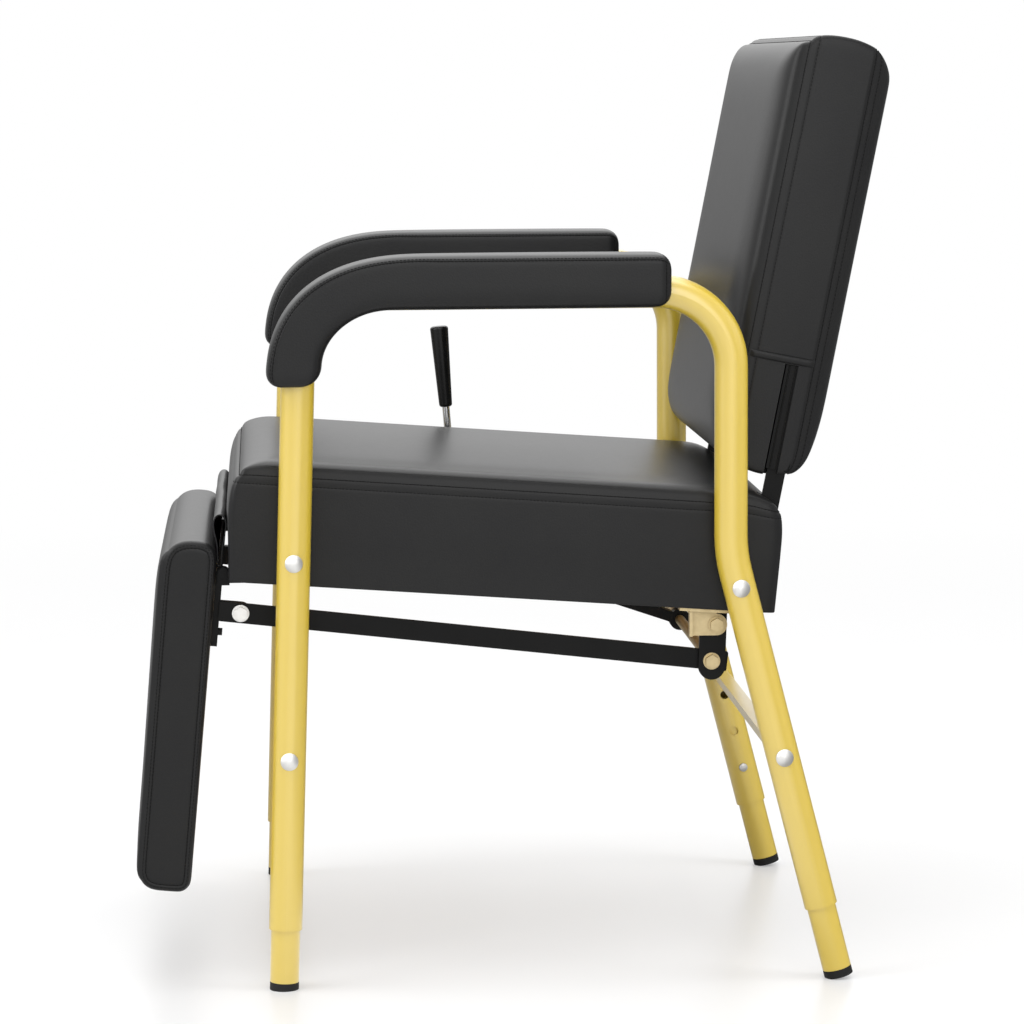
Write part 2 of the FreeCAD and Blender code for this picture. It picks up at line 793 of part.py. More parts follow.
def lock_bar():
    a = math.radians(LOCK_SLOPE)
    y, z = LINK_REAR
    tip = (y - LOCK_LEN * math.cos(a), z + LOCK_LEN * math.sin(a))
    x0 = LOCK_X - LOCK_W / 2.0
    x1 = LOCK_X + LOCK_W / 2.0
    bar = strip(LINK_REAR, tip, LOCK_HALF_H, x0, x1)
    bar = bar.fuse(rod(x0, x1, LINK_REAR, LOCK_EYE_R)).removeSplitter()
    SHAPES["lock_bar"] = bar.cut(rod(x0 - 1, x1 + 1, LINK_REAR, PIVOT_D / 2.0 + FIT))


def lock_clamp():
    u, w = local(LEVER_PIVOT, SEAT_TILT, SEAT_Y, SEAT_Z)
    u0 = u - CLAMP_HALF_LEN
    u1 = u + CLAMP_HALF_LEN
    x0 = LOCK_X - CLAMP_HW
    x1 = LOCK_X + CLAMP_HW
    top = BOX_H - PLY
    frame = box(x0, x1, u0, u1, CLAMP_BOTTOM, top)
    inner = box(x0 + CLAMP_T, x1 - CLAMP_T, u0 - 1, u1 + 1, CLAMP_BOTTOM + CLAMP_T, top - CLAMP_T)
    frame = frame.cut(inner)
    frame = frame.cut(rod(x0 - 1, x1 + 1, (u, w), LEVER_D / 2.0 + FIT))
    SHAPES["lock_clamp"] = in_seat(frame)


def lever_direction():
    a = math.radians(LEVER_LEAN)
    return V(0, -math.sin(a), math.cos(a))


def lever():
    pivot = V(LEVER_INNER_X, LEVER_PIVOT[0], LEVER_PIVOT[1])
    elbow = V(LEVER_X, LEVER_PIVOT[0], LEVER_PIVOT[1])
    up = lever_direction()
    wire = bent_wire([pivot, elbow, elbow + up * LEVER_LEN], [LEVER_BEND_R])
    SHAPES["lever_rod"] = pipe(wire, LEVER_D / 2.0)
    x0 = LOCK_X - CLAMP_HW + CLAMP_T + 1.0
    x1 = LOCK_X + CLAMP_HW - CLAMP_T - 1.0
    lobe = (LEVER_PIVOT[0], LEVER_PIVOT[1] - CAM_OFFSET)
    cam = rod(x0, x1, lobe, CAM_R)
    SHAPES["lever_cam"] = cam.cut(rod(x0 - 1, x1 + 1, LEVER_PIVOT, LEVER_D / 2.0 + FIT))
    grip = Part.makeCone(GRIP_R0, GRIP_R1, GRIP_END - GRIP_START)
    ends = []
    for edge in grip.Edges:
        if edge.BoundBox.ZLength < 1e-6:
            ends.append(edge)
    grip = grip.makeFillet(GRIP_ROUND, ends)
    bore = Part.makeCylinder(LEVER_D / 2.0 + FIT, LEVER_LEN + FIT - GRIP_START)
    grip = grip.cut(bore)
    grip.translate(V(0, 0, GRIP_START))
    grip.rotate(V(0, 0, 0), V(1, 0, 0), LEVER_LEAN)
    grip.translate(elbow)
    SHAPES["lever_grip"] = grip


def legrest_ears():
    x0 = EAR_X
    x1 = EAR_X + EAR_T
    y, z = LEGREST_PIVOT
    knuckle = rod(x0, x1, LEGREST_PIVOT, EAR_R)
    drop = box(x0, x1, y - EAR_R, y + EAR_R, z - EAR_DROP, z)
    end = SEAT_Y + EAR_STRAP_LEN
    under = seat_bottom_z(end)
    strap = box(x0, x1, y - EAR_R, end, under - EAR_STRAP_H, under)
    u0 = SKIRT + 1.0
    flange = in_seat(box(x0, x0 + EAR_FLANGE_W, u0, u0 + EAR_FLANGE_L, -EAR_FLANGE_T, 0.0))
    ear = knuckle.fuse([drop, strap, flange]).removeSplitter()
    both("legrest_ear", ear.cut(rod(x0 - 1, x1 + 1, LEGREST_PIVOT, PIN_D / 2.0 + FIT)))


def legrest_pins():
    x = EAR_X + EAR_T
    shank = rod(WEB_X - PIN_OVER, x, LEGREST_PIVOT, PIN_D / 2.0)
    head = rod(x, x + PIN_HEAD_H, LEGREST_PIVOT, EAR_R - 0.6)
    both("legrest_pin", shank.fuse(head).removeSplitter())


def legrest_brackets():
    pin = local(LEGREST_PIVOT, REST_TILT, REST_Y, REST_Z)
    link = local(LINK_FRONT, REST_TILT, REST_Y, REST_Z)
    x0 = WEB_X
    x1 = WEB_X + WEB_T
    flange = box(x1 - REST_FLANGE_W, x1, 0, REST_FLANGE_T, REST_FLANGE_BOTTOM, REST_FLANGE_TOP)
    web = box(x0, x1, 0, REST_STRIP, REST_FLANGE_BOTTOM, REST_FLANGE_TOP)
    fork = strip((1.0, link[1]), link, FORK_R, x0, x1)
    discs = [rod(x0, x1, link, FORK_R), rod(x0, x1, pin, EAR_R)]
    bracket = flange.fuse([web, fork] + discs).removeSplitter()
    bracket = bracket.cut(rod(x0 - PIN_OVER - 1, x1 + 1, pin, PIN_D / 2.0 + FIT))
    bracket = bracket.cut(rod(x0 - 1, x1 + 1, link, BOLT_D / 2.0 + BOLT_FIT))
    both("legrest_bracket", in_rest(bracket))


def link_bolts():
    x = LINK_X + LINK_T + 0.5
    head = flange_head(x, x + HEX_H, LINK_FRONT)
    nut = hexagon(WEB_X - HEX_H, WEB_X, LINK_FRONT, HEX_AF)
    shank = rod(WEB_X - HEX_H - 2.0, x, LINK_FRONT, BOLT_D / 2.0)
    collar = rod(WEB_X + WEB_T, LINK_X - 0.5, LINK_FRONT, HEX_AF / 2.0)
    both("link_bolt", head.fuse([nut, shank, collar]).removeSplitter())


def bumpers():
    x = WEB_X + WEB_T - REST_FLANGE_W / 2.0
    at = V(x, REST_FLANGE_T, BUMPER_Z)
    bumper = in_rest(Part.makeCylinder(BUMPER_R, BUMPER_H, at, V(0, 1, 0)))
    SHAPES["legrest_bumpers"] = Part.makeCompound([bumper, mirrored(bumper)])


def legrest_board():
    hw = REST_BOARD_HW
    board = box(-hw, hw, -PLY, 0, REST_BOARD_BOTTOM, REST_BOARD_TOP)
    SHAPES["legrest_board"] = in_rest(board)


def rest_ring(v, inset, front, crown, rear):
    low = (REST_HW - inset, -front, -crown, REST_ROLL)
    high = (REST_HW - inset, -rear, 0.0, 0.0)
    return ring(True, v, low, high)


def legrest_pad():
    t = REST_THICK
    c = REST_CROWN
    low = REST_BOTTOM
    top = REST_TOP
    rings = [
        rest_ring(low, 8.0, t - 16.0, 1.0, 10.0),
        rest_ring(low + 4.0, 3.0, t - 8.0, 2.0, 4.5),
        rest_ring(low + 13.0, 0.0, t - 3.0, c - 1.0, 1.0),
        rest_ring(low / 2.0, 0.0, t + 1.0, c, 0.6),
        rest_ring(0.0, 0.0, t + 2.0, c, 0.6),
        rest_ring(top - 22.0, 0.0, t + 1.5, c - 0.5, 0.9),
        rest_ring(top - 12.0, 0.5, t - 1.5, c - 1.0, 3.5),
        rest_ring(top - 5.0, 3.0, t - 7.0, 2.0, 9.0),
        rest_ring(top, 8.0, t - 16.0, 1.0, 20.0),
    ]
    s = SOFT
    hw = REST_BOARD_HW + s
    pocket = box(-hw, hw, -PLY - s, 9.0, REST_BOARD_BOTTOM - s, REST_BOARD_TOP + s)
    SHAPES["legrest_pad"] = in_rest(loft(rings).cut(pocket))


def gap_flap():
    points = [FLAP_FOOT, FLAP_HEEL, FLAP_BACK, FLAP_REAR, FLAP_TOP, FLAP_FRONT, FLAP_WAIST]
    small = FLAP_T / 2.0
    radii = [small, small, FLAP_WAIST_R, FLAP_TOP_R, FLAP_TOP_R, FLAP_TOP_R, FLAP_WAIST_R]
    outside = rounded(points, radii, -FLAP_HW, FLAP_HW)
    middle_y = sum(p[0] for p in points) / len(points)
    inset = [(p[0] + FLAP_T * (1.0 if p[0] < middle_y else -1.0), p[1]) for p in points]
    inset[0] = (inset[0][0], inset[0][1] + FLAP_TAB_H)
    inset[1] = (inset[1][0], inset[1][1] + FLAP_TAB_H)
    inside = rounded(inset, radii, -FLAP_HW - 1.0, FLAP_HW + 1.0)
    SHAPES["gap_flap"] = outside.cut(inside).removeSplitter()


def leg_insert(sleeve, foot):
    r = INSERT_D / 2.0
    bore = r - INSERT_WALL
    length = INSERT_TOP - foot
    tube = Part.makeCylinder(r, length, V(HALF, 0, foot))
    tube = tube.cut(Part.makeCylinder(bore, length, V(HALF, 0, foot)))
    return tube.cut(snap_hole(HALF - r - 1.0, HALF, sleeve + SNAP_PITCH))


def foot_cap(foot):
    r = INSERT_D / 2.0
    plug = r - INSERT_WALL - FIT
    cap = Part.makeCylinder(r, CAP_H, V(HALF, 0, foot - CAP_H))
    return cap.fuse(Part.makeCylinder(plug, CAP_PLUG_H, V(HALF, 0, foot))).removeSplitter()


def snap_button(sleeve):
    t = sleeve + SNAP_PITCH
    r = SNAP_PIN_D / 2.0
    seat = HALF - SNAP_DEPTH
    tip = HALF - TUBE_R - SNAP_PROUD
    pin = Part.makeCylinder(r, seat - tip, V(tip, 0, t), V(1, 0, 0))
    pin = pin.common(Part.makeSphere(SNAP_DOME_R, V(tip + SNAP_DOME_R, 0, t)))
    h = SNAP_LEAF_W / 2.0
    far = HALF + INSERT_D / 2.0 - INSERT_WALL - SNAP_LEAF_T - SNAP_LEAF_GAP
    low = t - SNAP_LEAF_DROP
    top = t + SNAP_LEAF_L
    near = box(seat, seat + SNAP_LEAF_T, -h, h, low, top)
    back = box(far, far + SNAP_LEAF_T, -h, h, low, top)
    bow = box(seat, far + SNAP_LEAF_T, -h, h, top - SNAP_LEAF_T, top)
    return pin.fuse([near, back, bow]).removeSplitter()


def feet():
    reach = 2.0 * LEG_SPACING
    floor = box(-reach, reach, -reach, reach, -reach, 0.0)
    for end, (tilt, y, sleeve) in leg_poses().items():
        a = math.radians(abs(tilt))
        drop = (INSERT_D / 2.0) * math.tan(a)
        foot = drop - min(CAP_TREAD, 2.0 * drop) + CAP_H
        both(end + "_leg_insert", pose(leg_insert(sleeve, foot), tilt, y, 0.0))
        both(end + "_foot_cap", pose(foot_cap(foot), tilt, y, 0.0).cut(floor))
        both(end + "_snap_button", pose(snap_button(sleeve), tilt, y, 0.0))


def build():
    arm_frames()
    arm_pads()
    stretchers()
    frame_bolts()
    seat_spacers()
    seat_box()
    seat_cushion()
    recline_brackets()
    recline_pivots()
    back_arms()
    back_sleeves()
    back_board()
    back_cushion()
    cross_rod()
    link_bars()
    lock_bar()
    lock_clamp()
    lever()
    legrest_ears()
    legrest_pins()
    legrest_brackets()
    link_bolts()
    bumpers()
    legrest_board()
    legrest_pad()
    gap_flap()
    feet()


build()
for name, shape in SHAPES.items():
    shape.exportStep("parts/" + name + ".step")
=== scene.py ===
import json
import math

import bmesh
import bpy
import numpy as np
from mathutils import Matrix, Vector

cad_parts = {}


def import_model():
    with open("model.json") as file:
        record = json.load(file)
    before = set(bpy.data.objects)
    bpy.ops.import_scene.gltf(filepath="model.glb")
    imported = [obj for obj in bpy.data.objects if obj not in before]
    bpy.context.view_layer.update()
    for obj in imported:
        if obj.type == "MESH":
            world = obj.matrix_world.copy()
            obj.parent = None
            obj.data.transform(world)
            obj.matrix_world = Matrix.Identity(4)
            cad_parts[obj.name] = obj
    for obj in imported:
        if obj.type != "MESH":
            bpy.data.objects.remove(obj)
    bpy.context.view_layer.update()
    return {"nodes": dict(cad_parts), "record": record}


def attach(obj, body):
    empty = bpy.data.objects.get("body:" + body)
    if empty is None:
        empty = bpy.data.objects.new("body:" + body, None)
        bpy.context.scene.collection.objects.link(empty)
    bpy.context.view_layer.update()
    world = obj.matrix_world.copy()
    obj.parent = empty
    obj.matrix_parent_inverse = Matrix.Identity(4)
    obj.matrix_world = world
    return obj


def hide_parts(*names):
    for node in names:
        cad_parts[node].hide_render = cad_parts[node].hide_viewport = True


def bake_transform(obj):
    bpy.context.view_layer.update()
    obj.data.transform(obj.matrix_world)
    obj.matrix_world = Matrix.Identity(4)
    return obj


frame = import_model()
NODES = frame["nodes"]
SCENE = bpy.context.scene

# A shampoo chair: X runs across it, with the sitter's left at +X, the front is -Y and up is +Z.
# Shapes are written in millimetres, and world() turns them into metres.

# Tilted frames of the soft parts: tilt in degrees, then Y and Z of the origin.
SEAT = (4.15, -275.0, 393.8)
BACK = (11.3, 240.2, 657.7)
REST = (5.4, -285.0, 397.0)
FLAT = (0.0, 0.0, 0.0)

# The frame's tubes, left and right of the middle.
HALF = 265.0
# How far a soft piece stays clear of the rigid piece inside it.
CLEAR = 0.3


def world(points, place):
    """Millimetres in a tilted frame to metres in the chair's frame."""
    tilt, y, z = place
    c, s = math.cos(math.radians(tilt)), math.sin(math.radians(tilt))
    p = np.asarray(points, float).reshape(-1, 3)
    return np.stack([p[:, 0], y + p[:, 1] * c + p[:, 2] * s, z - p[:, 1] * s + p[:, 2] * c], 1) / 1000


# Camera: angles in degrees, its place in metres and the focal length in pixels

AZIMUTH = 86.2466
ELEVATION = 6.667
ROLL = -0.32
CAMERA_PLACE = (3.8589, -0.2376, 0.8808)
FOCAL_LENGTH = 3800
PICTURE_WIDTH = 1024
SENSOR_WIDTH = 36


def make_camera():
    az, el, roll = (math.radians(a) for a in (AZIMUTH, ELEVATION, ROLL))
    back = Vector((math.sin(az) * math.cos(el), -math.cos(az) * math.cos(el), math.sin(el)))
    right = Vector((0, 0, 1)).cross(back).normalized()
    up = back.cross(right)
    right, up = math.cos(roll) * right + math.sin(roll) * up, math.cos(roll) * up - math.sin(roll) * right
    data = bpy.data.cameras.new("camera")
    data.sensor_width = SENSOR_WIDTH
    data.lens = FOCAL_LENGTH * SENSOR_WIDTH / PICTURE_WIDTH
    data.clip_end = 200
    cam = bpy.data.objects.new("camera", data)
    SCENE.collection.objects.link(cam)
    cam.matrix_world = Matrix((right, up, back)).transposed().to_4x4()
    cam.location = CAMERA_PLACE
    SCENE.camera = cam


# Materials

# Most values of a noise lie between these.
NOISE_RANGE = (0.3, 0.7)


class Nodes:
    """A small helper that adds and links shader nodes in one material or world."""

    def __init__(self, owner):
        owner.use_nodes = True
        self.tree = owner.node_tree
        self.tree.nodes.clear()

    def add(self, kind, inputs=None, **settings):
        node = self.tree.nodes.new(kind)
        for key, value in settings.items():
            setattr(node, key, value)
        for key, value in (inputs or {}).items():
            if isinstance(value, bpy.types.NodeSocket):
                self.tree.links.new(value, node.inputs[key])
            else:
                node.inputs[key].default_value = value
        return node

    def ramp(self, value, low, high):
        node = self.add("ShaderNodeValToRGB", {"Fac": value})
        for i, colour in enumerate((low, high)):
            node.color_ramp.elements[i].position = NOISE_RANGE[i]
            node.color_ramp.elements[i].color = (*colour, 1)
        return node.outputs["Color"]

    def mapped(self, value, start, end, low, high):
        """low up to start, high from end, and evenly between."""
        limits = {"From Min": start, "From Max": end, "To Min": low, "To Max": high}
        return self.add("ShaderNodeMapRange", {"Value": value, **limits}).outputs["Result"]

    def spread(self, value, low, high):
        return self.mapped(value, *NOISE_RANGE, low, high)

    def math(self, operation, a, b):
        return self.add("ShaderNodeMath", {0: a, 1: b}, operation=operation).outputs["Value"]

    def mix(self, share, a, b):
        return self.add("ShaderNodeMixShader", {0: share, 1: a, 2: b}).outputs["Shader"]

    def noise(self, scale, detail=3.0, stretch=(1, 1, 1)):
        spot = self.add("ShaderNodeTexCoord").outputs["Object"]
        spot = self.add("ShaderNodeMapping", {"Vector": spot, "Scale": stretch}).outputs["Vector"]
        return self.add("ShaderNodeTexNoise", {"Vector": spot, "Scale": scale, "Detail": detail}).outputs["Fac"]

    def cells(self, scale):
        spot = self.add("ShaderNodeTexCoord").outputs["Object"]
        node = self.add("ShaderNodeTexVoronoi", {"Vector": spot, "Scale": scale}, feature="SMOOTH_F1")
        return node.outputs["Distance"]

    def bump(self, height, strength, distance):
        inputs = {"Height": height, "Strength": strength, "Distance": distance}
        return self.add("ShaderNodeBump", inputs).outputs["Normal"]

    def surface(self, **inputs):
        node = self.add("ShaderNodeBsdfPrincipled", {k.replace("_", " "): v for k, v in inputs.items()})
        self.add("ShaderNodeOutputMaterial", {"Surface": node.outputs["BSDF"]})


def material(name):
    made = bpy.data.materials.new(name)
    return made, Nodes(made)


def vinyl_material():
    made, n = material("vinyl")
    n.surface(
        Base_Color=n.ramp(n.noise(14), (0.0125, 0.0125, 0.013), (0.0145, 0.0145, 0.0145)),
        Roughness=n.spread(n.noise(120, 3), 0.325, 0.335),
        Specular_IOR_Level=0.17,
        Normal=n.bump(n.cells(620), 0.26, 0.0003),
    )
    return made


def mottled(name, tone, low, high, rough, roughness, relief=None, bump=None, **inputs):
    """A material that varies a little. Its tone, roughness and relief follow noises: scale, detail and stretch.

    The tone runs from low to high, the roughness over its range, and bump is the relief's strength and depth.
    """
    made, n = material(name)
    inputs["Base_Color"] = n.ramp(n.noise(*tone), low, high)
    inputs["Roughness"] = n.spread(n.noise(*rough), *roughness)
    if relief:
        inputs["Normal"] = n.bump(n.noise(*relief), *bump)
    n.surface(**inputs)
    return made


def zinc_material(name, low, high):
    return mottled(
        name, tone=(120, 4), low=low, high=high, rough=(200, 4), roughness=(0.5, 0.58),
        relief=(600, 3, (1, 1, 4)), bump=(0.04, 0.0003), Metallic=1.0,
    )


WOOD_GRAIN = (26, 6, (1, 0.06, 1))
MATERIALS = {
    "gold_paint": mottled(
        "gold_paint", tone=(5,), low=(0.595, 0.425, 0.028), high=(0.62, 0.445, 0.033),
        rough=(24, 4), roughness=(0.34, 0.42), relief=(420, 2), bump=(0.03, 0.0004),
        Specular_IOR_Level=0.9, Coat_Weight=1.0, Coat_Roughness=0.28, Coat_IOR=1.75,
    ),
    "vinyl": vinyl_material(),
    "black_steel": mottled(
        "black_steel", tone=(30,), low=(0.004,) * 3, high=(0.006,) * 3,
        rough=(60, 4), roughness=(0.36, 0.46), relief=(900, 2), bump=(0.08, 0.0003), Specular_IOR_Level=0.12,
    ),
    "zinc": zinc_material("zinc", (0.67, 0.665, 0.65), (0.75, 0.745, 0.73)),
    "chrome": mottled(
        "chrome", tone=(60,), low=(0.82, 0.82, 0.83), high=(0.88, 0.88, 0.89),
        rough=(150, 4), roughness=(0.06, 0.12), Metallic=1.0,
    ),
    "black_plastic": mottled(
        "black_plastic", tone=(40,), low=(0.006,) * 3, high=(0.009,) * 3,
        rough=(80, 3), roughness=(0.16, 0.24), relief=(300, 2), bump=(0.03, 0.0004), Specular_IOR_Level=0.22,
    ),
    "rubber": mottled(
        "rubber", tone=(80,), low=(0.008,) * 3, high=(0.014,) * 3,
        rough=(200, 4), roughness=(0.6, 0.75), relief=(800, 3), bump=(0.12, 0.0004), Specular_IOR_Level=0.25,
    ),
    "plywood": mottled(
        "plywood", tone=WOOD_GRAIN, low=(0.40, 0.26, 0.13), high=(0.58, 0.41, 0.23),
        rough=(90, 4), roughness=(0.55, 0.72), relief=WOOD_GRAIN, bump=(0.12, 0.0008),
    ),
    "nylon": mottled(
        "nylon", tone=(50,), low=(0.003,) * 3, high=(0.0045,) * 3,
        rough=(120, 3), roughness=(0.34, 0.44), relief=(500, 2), bump=(0.05, 0.0003), Specular_IOR_Level=0.08,
    ),
}
VINYL = MATERIALS["vinyl"]
THREAD = mottled(
    "thread", tone=(900, 2), low=(0.007,) * 3, high=(0.010,) * 3,
    rough=(700, 2), roughness=(0.75, 0.9), relief=(2500, 2), bump=(0.3, 0.0003), Specular_IOR_Level=0.1,
)
# Zinc tinted tan for the parts beside the gold legs: a painted reflection of the gold legs in their base colour.
ZINC_WITH_PAINTED_GOLD_REFLECTION = zinc_material("zinc_painted_gold_reflection", (0.50, 0.405, 0.235), (0.58, 0.475, 0.28))
PARTS_WITH_PAINTED_GOLD_REFLECTION = ("recline_bracket", "recline_pivot", "cross_rod")


def dress_cad_nodes():
    for part in frame["record"]["subparts"]:
        obj = NODES[part["node"]]
        finish = MATERIALS[part["material_slot"]]
        # The parts beside the gold legs take the zinc with the painted gold reflection.
        if part["node"].startswith(PARTS_WITH_PAINTED_GOLD_REFLECTION):
            finish = ZINC_WITH_PAINTED_GOLD_REFLECTION
        obj.data.materials.clear()
        obj.data.materials.append(finish)


# Mesh helpers

def spaced(low, high, near, step):
    """Positions from low to high: close together by both ends, then about one step apart."""
    first, last = low + near[-1], high - near[-1]
    count = max(1, round((last - first) / step))
    middle = np.linspace(first, last, count + 1)[1:-1]
    ends = np.asarray(near, float)
    return np.concatenate([low + ends, middle, (high - ends)[::-1]])


class Grid:
    """The surface of a box as a grid of quads, whose vertices are then moved to the cushion's form."""

    def __init__(self, xs, ys, zs):
        axes = [np.asarray(a, float) for a in (xs, ys, zs)]
        self.size = [len(a) for a in axes]
        self.index = -np.ones(self.size, int)
        cells = []
        for cell in np.ndindex(*self.size):
            if any(c in (0, m - 1) for c, m in zip(cell, self.size)):
                self.index[cell] = len(cells)
                cells.append(cell)
        self.cells = np.array(cells)
        self.p = np.stack([axes[a][self.cells[:, a]] for a in range(3)], 1)
        self.faces = []
        for axis in range(3):
            for side in (0, self.size[axis] - 1):
                self._add_side(axis, side)

    def _number(self, axis, at, i, j):
        """The vertex at one place along an axis, and at i and j along the next two."""
        cell = [0, 0, 0]
        cell[axis], cell[(axis + 1) % 3], cell[(axis + 2) % 3] = at, i, j
        return int(self.index[tuple(cell)])

    def _add_side(self, axis, side):
        for i in range(self.size[(axis + 1) % 3] - 1):
            for j in range(self.size[(axis + 2) % 3] - 1):
                corners = (i, j), (i + 1, j), (i + 1, j + 1), (i, j + 1)
                quad = [self._number(axis, side, *corner) for corner in corners]
                self.faces.append(quad if side else quad[::-1])

    def on(self, axis, side):
        """Which vertices lie on that side of the box: side is 0 or -1."""
        return self.cells[:, axis] == (0 if side == 0 else self.size[axis] - 1)

    def loop(self, axis, at, inset=0):
        """Vertex numbers round the box at one row, or round one of its sides a few rows in."""
        at = at % self.size[axis]
        a, b = (axis + 1) % 3, (axis + 2) % 3
        a0, a1, b0, b1 = inset, self.size[a] - 1 - inset, inset, self.size[b] - 1 - inset
        path = [(i, b0) for i in range(a0, a1)] + [(a1, j) for j in range(b0, b1)]
        path += [(i, b1) for i in range(a1, a0, -1)] + [(a0, j) for j in range(b1, b0, -1)]
        return [self._number(axis, at, i, j) for i, j in path]


def unit(vectors, least=1e-12):
    """The same directions with length 1. No length is taken as less than least."""
    return vectors / np.maximum(np.linalg.norm(vectors, axis=1, keepdims=True), least)


def sink(grid, *grooves):
    """Draws rows of vertices in along their normals: a groove is a row's vertex numbers and its depth."""
    p, quads = grid.p, np.array(grid.faces)
    facing = np.cross(p[quads[:, 2]] - p[quads[:, 0]], p[quads[:, 3]] - p[quads[:, 1]])
    normals = np.zeros_like(p)
    for corner in range(4):
        np.add.at(normals, quads[:, corner], facing)
    normals = unit(normals)
    for ids, depth in grooves:
        p[ids] -= normals[ids] * depth


def ease(distance, reach, power=2.0):
    """A quarter ellipse: 0 at the edge, 1 from reach inwards. A higher power has a fuller shoulder."""
    t = np.clip(np.asarray(distance, float) / reach, 0, 1)
    return np.maximum(1 - (1 - t) ** power, 0) ** (1 / power)


def meet(*rolls):
    """Rolls along several edges as one: the lowest of them, with a little rounding where two cross."""
    total = sum(np.maximum(r, 1e-4) ** -4.0 - 1 for r in rolls)
    return (1 + total) ** -0.25


def fade(distance, reach):
    """1 at the edge, falling smoothly to 0 at reach."""
    t = np.clip(np.asarray(distance, float) / reach, 0, 1)
    return (1 - t) ** 2 * (1 + 2 * t)


def rising(value, start, run):
    """0 up to start, then evenly up to 1 over one run."""
    return np.clip((value - start) / run, 0, 1)


def rounded(amount, distance, reach, power=2.0):
    """How far a rounded edge falls away: amount at the edge, 0 from reach inwards."""
    return amount * (1 - ease(distance, reach, power))


def tube_faces(rings, m, base=0):
    """Quads between rings of m points each, whose first point is number base."""
    faces = []
    for low in range(base, base + (rings - 1) * m, m):
        for b in range(m):
            c = (b + 1) % m
            faces.append((low + b, low + c, low + m + c, low + m + b))
    return faces


def tube_ends(rings, m, base=0):
    """The two faces that close such a tube."""
    last = base + (rings - 1) * m
    return [list(range(base, base + m))[::-1], list(range(last, last + m))]


def make_object(name, points, faces, mat):
    mesh = bpy.data.meshes.new(name)
    mesh.from_pydata([tuple(p) for p in points], [], faces)
    mesh.materials.append(mat)
    mesh.polygons.foreach_set("use_smooth", [True] * len(mesh.polygons))
    mesh.update()
    obj = bpy.data.objects.new(name, mesh)
    SCENE.collection.objects.link(obj)
    return obj


def points_of(mesh):
    p = np.zeros(len(mesh.vertices) * 3)
    mesh.vertices.foreach_get("co", p)
    return p.reshape(-1, 3)


def recalculate(obj):
    """Turns all faces outwards."""
    b = bmesh.new()
    b.from_mesh(obj.data)
    bmesh.ops.recalc_face_normals(b, faces=b.faces)
    b.to_mesh(obj.data)
    b.free()


def applied(obj):
    """The object's mesh is replaced by the one that its modifiers give."""
    graph = bpy.context.evaluated_depsgraph_get()
    old = obj.data
    new = bpy.data.meshes.new_from_object(obj.evaluated_get(graph))
    obj.modifiers.clear()
    obj.data = new
    bpy.data.meshes.remove(old)
    obj.data.name = obj.name


def evened(mesh, moved, pinned, times=10, kept=0.4):
    """A cover's movement, averaged over neighbouring vertices, with the seams still held."""
    ends = np.zeros(len(mesh.edges) * 2, int)
    mesh.edges.foreach_get("vertices", ends)
    a, b = ends.reshape(-1, 2).T
    count = np.bincount(ends, minlength=len(moved))[:, None]
    free = np.ones((len(moved), 1))
    free[pinned] = 0
    for _ in range(times):
        total = np.zeros_like(moved)
        np.add.at(total, a, moved[b])
        np.add.at(total, b, moved[a])
        moved = free * (kept * moved + (1 - kept) * total / count)
    return moved


def inflate(obj, fixed, pressure, cap, share, frames=16):
    """Blows a cushion's cover out against its seams as cloth, by cap metres at most.

    fixed marks the vertices that stay. share says how much of the movement each vertex keeps, so that it
    fades out towards a seam.
    """
    pinned = np.nonzero(fixed)[0]
    rest = points_of(obj.data)
    group = obj.vertex_groups.new(name="seams")
    group.add([int(i) for i in pinned], 1.0, "REPLACE")
    cloth = obj.modifiers.new("cover", "CLOTH")
    cloth.point_cache.frame_start = 1
    cloth.point_cache.frame_end = frames
    cloth.collision_settings.use_collision = False
    cover = cloth.settings
    cover.quality = 6
    cover.mass = 0.4
    cover.tension_stiffness = 30
    cover.compression_stiffness = 30
    cover.shear_stiffness = 12
    cover.bending_stiffness = 3
    cover.vertex_group_mass = "seams"
    cover.use_pressure = True
    cover.uniform_pressure_force = pressure
    cover.effector_weights.gravity = 0
    for f in range(1, frames + 1):
        SCENE.frame_set(f)
    graph = bpy.context.evaluated_depsgraph_get()
    moved = points_of(obj.evaluated_get(graph).data) - rest
    SCENE.frame_set(1)
    obj.modifiers.clear()
    obj.vertex_groups.clear()
    moved = evened(obj.data, moved, pinned)
    length = np.linalg.norm(moved, axis=1, keepdims=True)
    held = cap * np.tanh(length / cap) / np.maximum(length, 1e-9)
    obj.data.vertices.foreach_set("co", (rest + moved * held * share[:, None]).ravel())
    obj.data.update()


def subdivide(obj):
    smooth = obj.modifiers.new("smooth", "SUBSURF")
    smooth.levels = smooth.render_levels = 1
    applied(obj)


# Cutters, for what goes through a cushion

# Edges at a larger angle than this stay sharp, in degrees: where a cushion is cut, and where vinyl is folded.
CUT_ANGLE = 40
FOLD_ANGLE = 50


def carve(obj, cutters):
    for cutter in cutters:
        cut = obj.modifiers.new("cut", "BOOLEAN")
        cut.operation = "DIFFERENCE"
        cut.solver = "EXACT"
        cut.object = cutter
    applied(obj)
    for cutter in cutters:
        mesh = cutter.data
        bpy.data.objects.remove(cutter)
        bpy.data.meshes.remove(mesh)
    obj.data.polygons.foreach_set("use_smooth", [True] * len(obj.data.polygons))
    obj.data.set_sharp_from_angle(angle=math.radians(CUT_ANGLE))


def box_cutter(place, low, high):
    (x0, y0, z0), (x1, y1, z1) = low, high
    corners = [(x, y, z) for x in (x0, x1) for y in (y0, y1) for z in (z0, z1)]
    faces = [(0, 1, 3, 2), (4, 6, 7, 5), (0, 4, 5, 1), (2, 3, 7, 6), (0, 2, 6, 4), (1, 5, 7, 3)]
    return make_object("cutter", world(corners, place), faces, VINYL)


